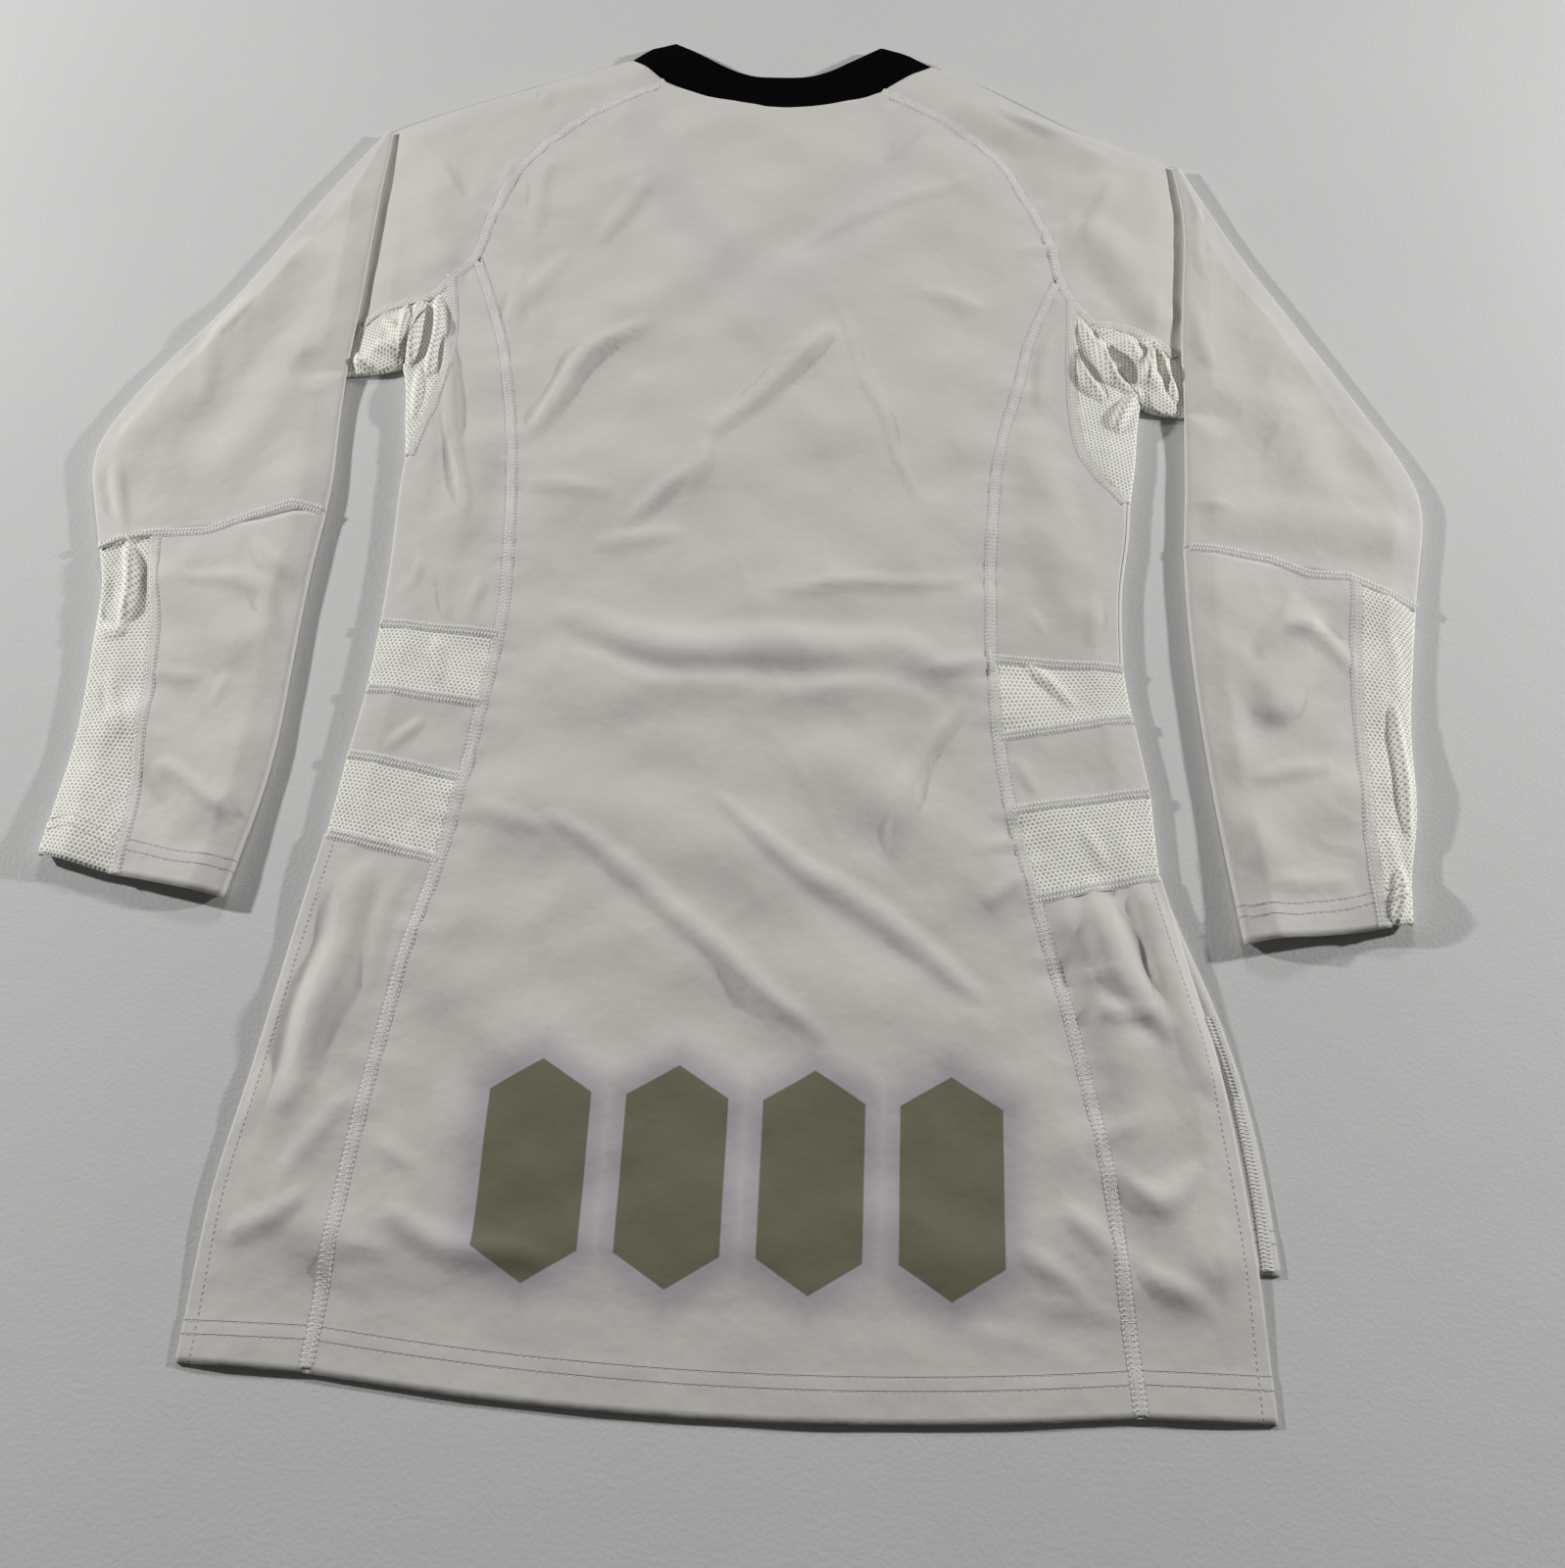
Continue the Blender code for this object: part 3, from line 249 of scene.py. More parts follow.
# Finer creases, by where their crests show in the photograph: half width and height in metres, then
# pixels along the crest. A negative height is a trough.
CREASES = (
    # Upper back
    (0.010, 0.0045, (538, 446), (606, 366), (668, 332)), (0.012, 0.0047, (728, 450), (850, 338)),
    (0.009, 0.0027, (722, 455), (708, 505)), (0.010, 0.0029, (640, 540), (712, 478)),
    (0.010, 0.0032, (815, 255), (868, 228), (985, 190)),
    (0.006, 0.0020, (848, 300), (884, 390), (938, 520)), (0.010, 0.0027, (935, 298), (1005, 322)),
    (0.010, 0.0024, (562, 165), (542, 245)), (0.010, 0.0024, (535, 275), (519, 345)),
    (0.012, 0.0023, (583, 258), (528, 322)), (0.008, 0.0017, (508, 208), (530, 165)),
    (0.008, 0.0027, (905, 165), (945, 125)), (0.008, 0.0027, (1040, 262), (1078, 255)),
    (0.010, 0.0023, (610, 556), (700, 548)), (0.008, 0.0023, (535, 500), (625, 504)),
    (0.007, 0.0027, (780, 604), (990, 594)), (0.012, 0.0029, (660, 190), (610, 255)),
    # Shoulders
    (0.007, 0.0024, (556, 118), (572, 70)), (0.006, 0.0015, (425, 135), (478, 212)),
    (0.008, 0.0041, (1005, 107), (1062, 140), (1150, 158)), (0.010, 0.0022, (1102, 250), (1142, 186)),
    (0.008, 0.0014, (440, 250), (470, 290)),
    # Waist and lower back
    (0.020, 0.0047, (560, 625), (680, 660), (900, 662), (962, 688)),
    (0.013, -0.0024, (580, 655), (690, 688), (890, 692), (968, 712)),
    (0.008, 0.0028, (950, 690), (1012, 672)), (0.010, 0.0031, (982, 714), (938, 786), (908, 880)),
    (0.012, 0.0034, (735, 812), (812, 882), (912, 950), (1010, 1030)),
    (0.012, 0.0034, (560, 835), (640, 885), (730, 968), (840, 1068)),
    (0.010, 0.0017, (475, 822), (560, 852)), (0.006, 0.0017, (1005, 838), (1045, 828)),
    (0.008, 0.0025, (1005, 925), (1050, 895)), (0.006, 0.0016, (990, 870), (1048, 866)),
    # Side panels and bands
    (0.008, 0.0034, (452, 330), (464, 430), (476, 530)), (0.008, 0.0020, (408, 612), (435, 570)),
    (0.007, 0.0019, (498, 590), (476, 632)), (0.005, 0.0022, (450, 596), (456, 640)),
    (0.009, 0.0019, (1072, 345), (1055, 420)), (0.009, 0.0022, (1120, 612), (1108, 660)),
    (0.008, 0.0017, (1045, 628), (1066, 650)), (0.006, 0.0024, (398, 765), (432, 732)),
    (0.006, 0.0020, (470, 790), (490, 760)), (0.006, 0.0029, (447, 655), (452, 700)),
    (0.006, 0.0029, (1050, 680), (1098, 722)), (0.007, 0.0022, (1040, 775), (1060, 812)),
    (0.008, 0.0024, (1106, 845), (1128, 885)), (0.006, 0.0026, (380, 850), (402, 872)),
    (0.006, 0.0024, (420, 840), (432, 876)),
    # Left skirt: one long fold, a trough between two crests
    (0.015, -0.0022, (345, 880), (318, 965), (293, 1060), (262, 1165)),
    (0.017, 0.0054, (376, 880), (353, 960), (325, 1040), (288, 1140)),
    (0.011, 0.0034, (322, 890), (300, 975), (276, 1060), (243, 1155)),
    (0.010, 0.0014, (408, 900), (388, 960), (370, 1010)),
    (0.010, 0.0025, (318, 1218), (275, 1240), (222, 1262)), (0.010, 0.0018, (300, 1300), (245, 1335)),
    (0.006, 0.0024, (345, 1272), (400, 1278)), (0.006, 0.0024, (335, 1308), (395, 1316)),
    (0.012, 0.0034, (395, 1235), (455, 1268), (560, 1290)), (0.008, 0.0020, (380, 1165), (430, 1190)),
    (0.010, 0.0017, (352, 1120), (318, 1165), (292, 1200)),
    # Right skirt: a high crest down the panel, with a shallow trough and a low crest beside it
    (0.015, 0.0062, (1106, 898), (1138, 980), (1194, 1064)),
    (0.014, -0.0014, (1150, 902), (1176, 980), (1214, 1068)),
    (0.013, 0.0018, (1190, 905), (1214, 985), (1236, 1062)),
    (0.006, 0.0026, (1095, 1000), (1145, 992)), (0.012, 0.0032, (1110, 1030), (1180, 1042)),
    (0.008, 0.0027, (1128, 1160), (1170, 1150)),
    (0.010, 0.0027, (1140, 1200), (1185, 1225), (1225, 1195)),
    (0.010, 0.0036, (1165, 1293), (1245, 1342)), (0.010, 0.0027, (1085, 1235), (1140, 1285)),
    (0.010, 0.0024, (1040, 1275), (1110, 1330)), (0.008, 0.0024, (1060, 1338), (1150, 1340)),
    (0.008, 0.0020, (980, 1355), (1120, 1392)),
    # Left sleeve
    (0.012, 0.0014, (222, 350), (205, 420)), (0.010, 0.0021, (260, 300), (222, 350)),
    (0.007, 0.0021, (118, 480), (132, 540)), (0.009, 0.0024, (180, 592), (255, 596), (292, 660)),
    (0.008, 0.0034, (158, 783), (200, 806), (240, 840)),
    (0.007, 0.0022, (162, 686), (215, 696)), (0.008, 0.0021, (262, 555), (300, 600)),
    (0.006, 0.0018, (155, 756), (178, 758)), (0.012, 0.0018, (220, 720), (240, 690)),
    (0.010, -0.0052, (112, 592), (116, 620)), (0.006, 0.0030, (104, 560), (130, 556)),
    (0.006, 0.0021, (138, 552), (168, 545)), (0.006, 0.0022, (112, 690), (126, 754)),
    (0.006, 0.0022, (96, 640), (108, 690)), (0.008, 0.0018, (100, 800), (130, 850)),
    # Right sleeve
    (0.018, -0.0020, (1327, 644), (1296, 724)), (0.009, 0.0035, (1318, 612), (1282, 672)),
    (0.008, 0.0029, (1305, 640), (1348, 652), (1385, 690)), (0.007, 0.0017, (1212, 180), (1226, 290)),
    (0.009, 0.0020, (1205, 300), (1235, 380)), (0.006, 0.0013, (1320, 480), (1358, 444)),
    (0.006, 0.0013, (1288, 472), (1310, 432)), (0.009, 0.0023, (1280, 800), (1360, 784)),
    (0.006, 0.0016, (1350, 830), (1388, 842)), (0.006, 0.0016, (1340, 862), (1385, 872)),
    (0.008, 0.0016, (1285, 900), (1380, 905)), (0.007, 0.0020, (1215, 512), (1255, 525)),
    (0.007, 0.0026, (1412, 640), (1430, 720), (1438, 820)), (0.006, 0.0017, (1404, 612), (1440, 624)),
    (0.012, 0.0014, (1250, 700), (1262, 800)), (0.007, 0.0023, (1415, 850), (1425, 930)),
)

# Crests of the bunched mesh under the arms and on the lower sleeves, in the same way
BUNCHES = (
    # Left: the loop of the sleeve's gusset, its inner fold, then the body's gusset
    (0.006, 0.0065, (362, 346), (372, 326), (398, 311), (422, 305)),
    (0.005, 0.0065, (360, 344), (361, 366), (378, 378)), (0.005, 0.0070, (386, 353), (398, 359), (412, 367)),
    (0.004, 0.0055, (393, 330), (404, 338), (410, 350)), (0.005, 0.0050, (415, 311), (417, 335), (411, 362)),
    (0.006, 0.0065, (430, 306), (426, 340), (420, 376)), (0.005, 0.0050, (448, 303), (447, 340), (438, 388)),
    (0.005, 0.0030, (430, 380), (424, 430)),
    # Right: the rolled rim, the two folds in its hollow, then the body's gusset
    (0.006, 0.0068, (1118, 344), (1150, 334), (1172, 350), (1184, 366), (1192, 388)),
    (0.0045, 0.0075, (1173, 354), (1174, 372), (1168, 394)),
    (0.005, 0.0060, (1187, 378), (1197, 398), (1203, 414)),
    (0.006, 0.0050, (1122, 348), (1124, 372), (1136, 396)), (0.004, 0.0045, (1150, 352), (1158, 372)),
    (0.006, 0.0050, (1100, 332), (1118, 362), (1142, 396), (1160, 404)),
    (0.005, 0.0045, (1090, 350), (1104, 384), (1126, 414)),
    (0.006, 0.0055, (1164, 402), (1148, 420), (1136, 444)),
    # The pocket at the top of the left lower sleeve's mesh, and the crumpled end of the right one's
    (0.004, 0.0055, (101, 562), (98, 600), (106, 640)), (0.005, 0.0065, (134, 556), (136, 596), (128, 640)),
    (0.005, 0.0050, (103, 560), (126, 554), (150, 548)), (0.005, 0.0050, (104, 640), (118, 650), (130, 642)),
    (0.005, 0.0060, (1424, 890), (1428, 915), (1420, 945)), (0.004, 0.0050, (1438, 900), (1441, 938)),
    (0.005, 0.0045, (1418, 720), (1430, 790), (1436, 860)),
)

# Thickness of the shown cloth, and of its turned hems
CLOTH_WALL = 0.0011
HEM_WALL = 0.0018
HEM_DEPTH = 0.0225
CUFF_DEPTH = 0.0220
HEM_STEP = 0.0016
LOWER_TOP = 0.0013
WELD = 0.00001
FINE = 3
COARSE = 2

# Soft rise of the cloth between seams, and slow waves: length, angle in degrees, phase, height
PUFF_HEIGHT = 0.0011
PUFF_REACH = 0.022
WAVES = ((0.083, 25.0, 0.3, 0.0012), (0.061, 80.0, 1.1, 0.0009), (0.117, 140.0, 2.0, 0.0010),
         (0.047, 55.0, 4.0, 0.0006), (0.036, 110.0, 5.2, 0.0004))
CRUMPLE_SIZE = 0.055
CRUMPLE_SQUEEZE = 0.7
CRUMPLE_HEIGHT = 0.0011
CRUMPLE_FORM = (0.9, 2.1, 3, 0.9, 1.6)

# How a crease narrows and fades at its ends, and how its line wavers
CREASE_END = 0.45
CREASE_FADE = 0.5
FULL_LENGTH = 0.040
SLENDER = 0.26
WAVER = 0.0017
WAVER_LENGTH = 0.0130
WAVER_BEND = 2.0
WAVER_SHARES = (1.0, 2.3, 1.1, 2.1)
BUNCH_REACH = 0.007

# Points of a line between two named ones, for creases and for seams
LINE_DENSE = 4
SEAM_DENSE = 6

# Angle in radians from which a corner stays sharp, and turn of the mesh on the gussets in degrees
SHARP_TURN = 0.6
MESH_TURNS = {"body_gusset_left": 4, "sleeve_gusset_left": 28, "body_gusset_right": 38,
              "sleeve_gusset_right": -32}

# Puckers beside the taped seams: length and height, how both drift, and their share below the front hem
PUCKER_LENGTH = 0.019
CROSSING_REACH = 0.032
PUCKER_HEIGHT = 0.0012
PUCKER_REACH = 0.013
PUCKER_DRIFT = ((1.2, 0.31), (0.9, 0.17))
PUCKER_MEAN = 0.6
PUCKER_PACE = 0.23
BELOW_FRONT_HEM = 0.2

# Tape over the seams, and its stitches
TAPE_WIDTH = 0.0060
TAPE_SPOTS = (-0.5, -0.3, 0.0, 0.3, 0.5)
TAPE_EDGE_DROP = 0.6
TAPE_LIFT = 0.00035
TAPE_SINK = 0.00045
TAPE_STEP = 0.0016
STITCH_PITCH = 0.0020
THREAD = 0.00045
FINE_THREAD = 0.00028
FINE_PITCH = 0.0027
FIRST_STITCH = 0.3
CROSS_STITCHES = ((0.0, 0, 0.15), (0.45, 2, 0.6))
EDGE_STITCH = (-0.1, 0.75)
SLOT_PITCH = 0.0024
ARM_MARGIN = 0.0030
INNER_MARGIN = 0.0030
OUTER_MARGIN = 0.0010
LEAD_IN = 0.0035
SEAM_END = 0.0012
HEM_THREAD = 0.00018
HEM_LINES = (0.0150, 0.0214)
STITCH_LENGTH = 0.0014
STITCH_GAP = 0.0018
HEM_STITCH = 0.0034
HEM_GAP = 0.0002
HEM_END = 0.002
HEM_POINTS = 160
SEAM_POINTS = 40
BAND_POINTS = 12

# Stitches beside the slit, and overlock tape on a front skirt's edge where it shows
SLIT_STITCH = 0.0070
SLIT_START = 0.010
SLIT_POINTS = 60
OVERLOCK_IN = 0.0056
OVERLOCK_TOP = -0.262
OVERLOCK_END = 0.0015
OVERLOCK_POINTS = 50

# Camera, worked out from the photograph: place, tilt below the horizon, turn, and focal length.
# SEEN_HEIGHT is the height of the cloth where creases are placed.
CAMERA_PLACE = (0.04532, -0.50771, 0.7877)
CAMERA_TILT = math.radians(64.5)
CAMERA_TURN = math.radians(2.5)
FOCAL_PIXELS = 1550.0
PHOTO_HEIGHT = 1600.0
PHOTO_CENTRE = (798.5, 800.0)
SEEN_HEIGHT = 0.004
SENSOR = 36.0

# Colours
CLOTH = (0.628, 0.605, 0.568)
MESH = (0.90, 0.89, 0.81)
# Painted shade seen through the holes of the mesh
HOLE_SHADE = (0.40, 0.39, 0.34)
TAPE = (0.70, 0.685, 0.645)
# Painted shade in the tape's gaps between its threads, and along its middle and its edges
TAPE_SHADE = (0.30, 0.285, 0.26)
THREAD_COLOUR = (0.78, 0.77, 0.735)
COLLAR = (0.0012, 0.0012, 0.0014)
COLLAR_DUST = (0.0022, 0.0022, 0.0025)
RIB_PITCH = 0.0012
RIB_SLANT = 0.8
SHADE_BLUE = (0.40, 0.42, 0.43)
OLIVE = (0.160, 0.151, 0.089)
VIOLET = (0.40, 0.375, 0.42)
FLOOR = (0.615, 0.615, 0.608)
# Painted shade in the grooves of the hem and slit stitches
GROOVE_SHADE = (0.40, 0.38, 0.355)
GROOVE_WIDTH = 0.00040
SHEEN_ROUGHNESS = 0.5
SPECULAR = 0.3
COLLAR_SPECULAR = 0.03

# Mesh: pitch of the holes along a row, between rows, and their radius
HOLE_PITCH = 0.0027
HOLE_ROW = 0.00224
HOLE_RADIUS = 0.00062

# Printed row of plain long hexagons on the skirt, with a soft halo
PRINT_LEFT = -0.124
PRINT_PITCH = 0.071
PRINT_COUNT = 4
PRINT_MIDDLE_Y = -0.357
PRINT_HALF_WIDTH = 0.0265
PRINT_HALF_HEIGHT = 0.056
PRINT_POINT_SLOPE = 0.62
PRINT_HALO = 0.019

# Size that each piece is cut to, laid out flat: width and length. Side pieces: left, then right.
CUTS = {"collar_band": (0.042, 0.816), "back_panel": (0.404, 0.949), "front_panel": (0.404, 0.841)}
SIDE_CUTS = {
    "side_back": ((0.078, 0.307), (0.083, 0.307)),
    "side_front": ((0.071, 0.307), (0.091, 0.307)),
    "band_mesh_upper": ((0.148, 0.047), (0.163, 0.053)),
    "band_plain": ((0.142, 0.048), (0.165, 0.048)),
    "band_mesh_lower": ((0.142, 0.053), (0.164, 0.054)),
    "skirt_back": ((0.068, 0.282), (0.073, 0.283)),
    "skirt_front": ((0.068, 0.217), (0.082, 0.217)),
    "body_gusset": ((0.066, 0.148), (0.095, 0.162)),
    "sleeve_gusset": ((0.064, 0.140), (0.074, 0.150)),
    "upper_sleeve": ((0.440, 0.575), (0.440, 0.580)),
    "forearm": ((0.210, 0.260), (0.211, 0.259)),
    "forearm_mesh": ((0.096, 0.229), (0.082, 0.227)),
}
for kind, cuts in SIDE_CUTS.items():
    CUTS[kind + "_left"], CUTS[kind + "_right"] = cuts

# The collar seen through the back: how dark, and how far from the middle of its arms
SEEN_THROUGH = 0.14
COLLAR_REACH = 0.020
COLLAR_FADE = 0.014

# Heights asked of the cloth: where the rays start, and how the tape bridges a gap
RAY_TOP = 0.05
GAP_DROP = 0.0010
SETTLE_STEPS = 2

# Table and lights: name, place, size and power
FLOOR_SIZE = 6.0
FLOOR_Z = -0.0001
LIGHT_AIM = (0.0, 0.0, 0.0)
LIGHTS = (("left_light", (-1.90, 0.41, 0.84), 0.10, 34.0),
          ("right_light", (1.85, 0.35, 0.69), 0.10, 29.0),
          ("top_light", (0.0, 2.30, 1.75), 0.50, 16.0))
WORLD_STRENGTH = 0.055

# Open ends of the sleeves: how far up the sleeve the upper layer rises, and how far the lower one
# draws back
CUFF_REACH = 0.075
DRAWN_BACK = 0.0045
DRAWN_REACH = 0.030


def smooth(points, dense=12):
    """A smooth line through the named points, by Catmull-Rom."""
    points = np.array(points, dtype=float)
    padded = np.vstack((2 * points[0] - points[1], points, 2 * points[-1] - points[-2]))
    line = []
    for before, start, end, after in zip(padded, padded[1:], padded[2:], padded[3:]):
        for t in np.linspace(0.0, 1.0, dense, endpoint=False):
            line.append(0.5 * (2 * start + (end - before) * t
                               + (2 * before - 5 * start + 4 * end - after) * t ** 2
                               + (3 * start - before - 3 * end + after) * t ** 3))
    line.append(points[-1])
    return np.array(line)


def spread(points, count):
    """Stations at even spacing along the smooth line through the points."""
    line = smooth(points)
    steps = np.hypot(*np.diff(line, axis=0).T)
    length = np.concatenate(([0.0], np.cumsum(steps)))
    marks = np.linspace(0.0, length[-1], count + 1)
    return np.column_stack((np.interp(marks, length, line[:, 0]), np.interp(marks, length, line[:, 1])))


@functools.lru_cache(maxsize=None)
def run_down(points):
    """The y and x of a line that runs down the garment, in rising order of y."""
    line = smooth(points)
    order = np.argsort(line[:, 1])
    return line[order, 1], line[order, 0]


def x_at(points, y):
    """The x of a line that runs down the garment, at height y."""
    return float(np.interp(y, *run_down(points)))


def side_of(node):
    """The side that a piece belongs to."""
    return LEFT if node.endswith("left") else RIGHT


def mix(a, b, t):
    return np.array(a, dtype=float) * (1 - t) + np.array(b, dtype=float) * t


def soft(value):
    """A soft step from 0 to 1, for one number or many."""
    value = np.clip(value, 0.0, 1.0)
    return value * value * (3 - 2 * value)


def unit(vector):
    return np.array(vector, dtype=float) / math.hypot(*vector)


def distance(point, start, end):
    """Distance in plan from a point to a straight stretch."""
    run = np.subtract(end, start)
    t = np.clip(np.dot(np.subtract(point, start), run) / np.dot(run, run), 0.0, 1.0)
    return math.hypot(*(np.subtract(point, start) - run * t))


def line_distance(point, points):
    return min(distance(point, a, b) for a, b in zip(points, points[1:]))


def body_height(point):
    """Middle of the upper layer over the body and shoulders."""
    reach = []
    for _, side in SIDES:
        reach.append(line_distance(point, side["shoulder"]))
        reach.append(line_distance(point, side["crotch"]))
        reach.append(line_distance(point, side["edge"]))
    fade = soft((point[1] - LIFT_END_Y) / LIFT_FADE)
    lift = EDGE_LIFT * (1 - soft(min(reach) / EDGE_REACH)) * fade
    free = soft((point[1] - FLAT_TO_Y) / (FLAT_FROM_Y - FLAT_TO_Y))
    return HALF + LAYER_STEP * free + lift


def pressed_height(side, point):
    """The upper layer of the shoulder, pressed down where the sleeve lies over it."""
    past = -side["out"] * (point[0] - x_at(side["inner"], point[1]))
    return UPPER_Z + (body_height(point) - UPPER_Z) * soft(past / PRESSED_REACH)


def raised(points, height):
    return [np.array((p[0], p[1], height(p))) for p in points]


def flat(points):
    return [np.array((p[0], p[1], HALF)) for p in points]


def turn(centre, outward, z_from, z_to, steps):
    """Half a turn round a folded edge, without its two end points."""
    radius = abs(z_from - z_to) / 2
    points = []
    for k in range(1, steps):
        angle = math.pi * k / steps
        reach = np.multiply(outward, radius * math.sin(angle))
        z = mix(z_from, z_to, (1 - math.cos(angle)) / 2)
        points.append(np.array((centre[0] + reach[0], centre[1] + reach[1], z)))
    return points


def straight(start, end, steps):
    return [mix(start, end, k / steps) for k in range(steps + 1)]


def wrap(start, fold, end, outward, height, upper_steps, lower_steps):
    """A section from a seam of the upper layer, round a folded edge, to a lower seam."""
    near = np.subtract(fold, np.multiply(outward, EDGE_LIFT))
    radius = (height(near) - HALF) / 2
    centre = np.subtract(fold, np.multiply(outward, radius + HALF))
    section = raised(straight(start, centre, upper_steps), height)
    section[-1][2] = HALF + 2 * radius
    section += turn(centre, outward, HALF + 2 * radius, HALF, TURN_STEPS)
    section += flat(straight(centre, end, lower_steps))
    return section


def inset(grid, rows=(True, True), columns=(True, True)):
    """Move the chosen borders of a grid inward by half the seam gap."""
    grid = np.array(grid, dtype=float)

    def moved(edge, towards):
        step = towards - edge
        length = np.linalg.norm(step, axis=-1, keepdims=True)
        return edge + step / np.maximum(length, 1e-9) * SEAM_GAP / 2

    if rows[0]:
        grid[0] = moved(grid[0], grid[1])
    if rows[1]:
        grid[-1] = moved(grid[-1], grid[-2])
    if columns[0]:
        grid[:, 0] = moved(grid[:, 0], grid[:, 1])
    if columns[1]:
        grid[:, -1] = moved(grid[:, -1], grid[:, -2])
    return grid


def cut_corner(grid, row, towards):
    """Take the end of a gusset back where three pieces meet at a folded corner."""
    step = grid[towards] - grid[row]
    length = np.linalg.norm(step, axis=-1, keepdims=True)
    grid[row] += step / np.maximum(length, 1e-9) * np.array(CORNER_SHARES)[:, None] * CORNER_CUT
    return grid


def band_stretches(side):
    """Rows of the side seams: pairs of y at the princess seam and y at the side edge."""
    tip_y = side["gusset"][-1][1]
    top_y = side["princess"][0][1]
    bands = side["bands"]
    rows = {"upper": []}
    for k in range(ROWS_UPPER + 1):
        seam_y = mix(top_y, bands[0][1], k / ROWS_UPPER)
        edge_y = mix(tip_y, bands[0][2], max(0, k - ROWS_GUSSET) / (ROWS_UPPER - ROWS_GUSSET))
        rows["upper"].append((float(seam_y), float(edge_y)))
    for above, below in zip(bands, bands[1:]):
        rows[below[0]] = [(float(mix(above[1], below[1], k / ROWS_BAND)),
                           float(mix(above[2], below[2], k / ROWS_BAND))) for k in range(ROWS_BAND + 1)]
    for name, count, low in (("skirt", ROWS_SKIRT, side["hem"]),
                             ("front_skirt", ROWS_FRONT_SKIRT, (FRONT_HEM_Y, FRONT_HEM_Y))):
        rows[name] = [(float(mix(bands[-1][1], low[0], k / count)),
                       float(mix(bands[-1][2], low[1], k / count))) for k in range(count + 1)]
    return rows


def seam_point(side, y):
    return np.array((x_at(side["princess"], y), y))


def edge_point(side, y):
    return np.array((x_at(side["edge"], y), y))


def border(side, front):
    """Points down one side of the back or front panel, from the neck to the hem."""
    line = list(side["raglan"])
    if front:
        keep = [p for p in line if p[1] < side["front_corner"][1] - CORNER_CLEAR]
        line = [side["front_corner"]] + keep
    points = list(spread(line, ROWS_RAGLAN))
    rows = band_stretches(side)
    for name in ("upper", "b", "c", "d", "front_skirt" if front else "skirt"):
        points += [seam_point(side, seam_y) for seam_y, _ in rows[name][1:]]
    return points


def panel(front):
    """The back or the front panel, between the raglan and princess seams."""
    left = border(LEFT, front)
    right = border(RIGHT, front)
    last = len(left) - 1
    columns = COLUMNS_FRONT if front else COLUMNS_BACK
    neck = []
    if front:
        half = columns // 2
        neck = list(spread(LEFT["arm_outer"], half)) + list(spread(RIGHT["arm_outer"], half))[-2::-1]
    grid = []
    for i, (start, end) in enumerate(zip(left, right)):
        row = []
        for j in range(columns + 1):
            u = j / columns
            point = mix(start, end, u)
            bow = 1 - (2 * u - 1) ** 2
            if front:
                point = point + (neck[j] - mix(left[0], right[0], u)) * max(0.0, 1 - i / OPENING_ROWS)
            else:
                point[1] -= NECK_DIP * bow * max(0.0, 1 - i / END_ROWS)
                point[1] -= HEM_DIP * bow * max(0.0, 1 - (last - i) / END_ROWS)
            z = HALF if front else body_height(point)
            row.append(np.array((point[0], point[1], z)))
        grid.append(row)
    return inset(grid, rows=(True, False))


def collar():
    """One band: up one arm of the V, over the shoulder, round the back neck, and down again."""
    arms = {}
    for name, side in SIDES:
        outer = [side["collar_tip"]] + list(spread(side["arm_outer"], COLUMNS_FRONT // 2))
        crease = COLLAR_TOP[0] if name == "left" else COLLAR_TOP[-1]
        inner = [crease] + list(spread(side["arm_inner"], COLUMNS_FRONT // 2))
        arms[name] = [flat(straight(a, b, 2)) for a, b in zip(inner, outer)]
    upper_edge = spread(COLLAR_TOP, COLUMNS_BACK + 2)
    lower_edge = [LEFT["collar_tip"]]
    for j in range(COLUMNS_BACK + 1):
        u = j / COLUMNS_BACK
        point = mix(LEFT["collar_corner"], RIGHT["collar_corner"], u)
        point[1] -= NECK_DIP * (1 - (2 * u - 1) ** 2)
        lower_edge.append(point)
    lower_edge.append(RIGHT["collar_tip"])
    back = [raised(straight(a, b, 2), body_height) for a, b in zip(upper_edge, lower_edge)]
    rows = []
    for name, side in SIDES:
        outward = unit(side["tip_turn"])
        edge = back[0] if name == "left" else back[-1]
        folded = arms[name][0]
        turns = []
        for top, low in zip(edge, folded):
            radius = (top[2] - HALF) / 2
            centre = top[:2] - outward * (radius + HALF)
            top[:2] = centre
            low[:2] = centre
            turns.append(turn(centre, outward, HALF, top[2], TURN_STEPS))
        steps = [[column[k] for column in turns] for k in range(TURN_STEPS - 1)]
        arm = list(reversed(arms[name][1:])) + [folded] + steps
        rows += arm + back if name == "left" else list(reversed(arm))
    return inset(rows)


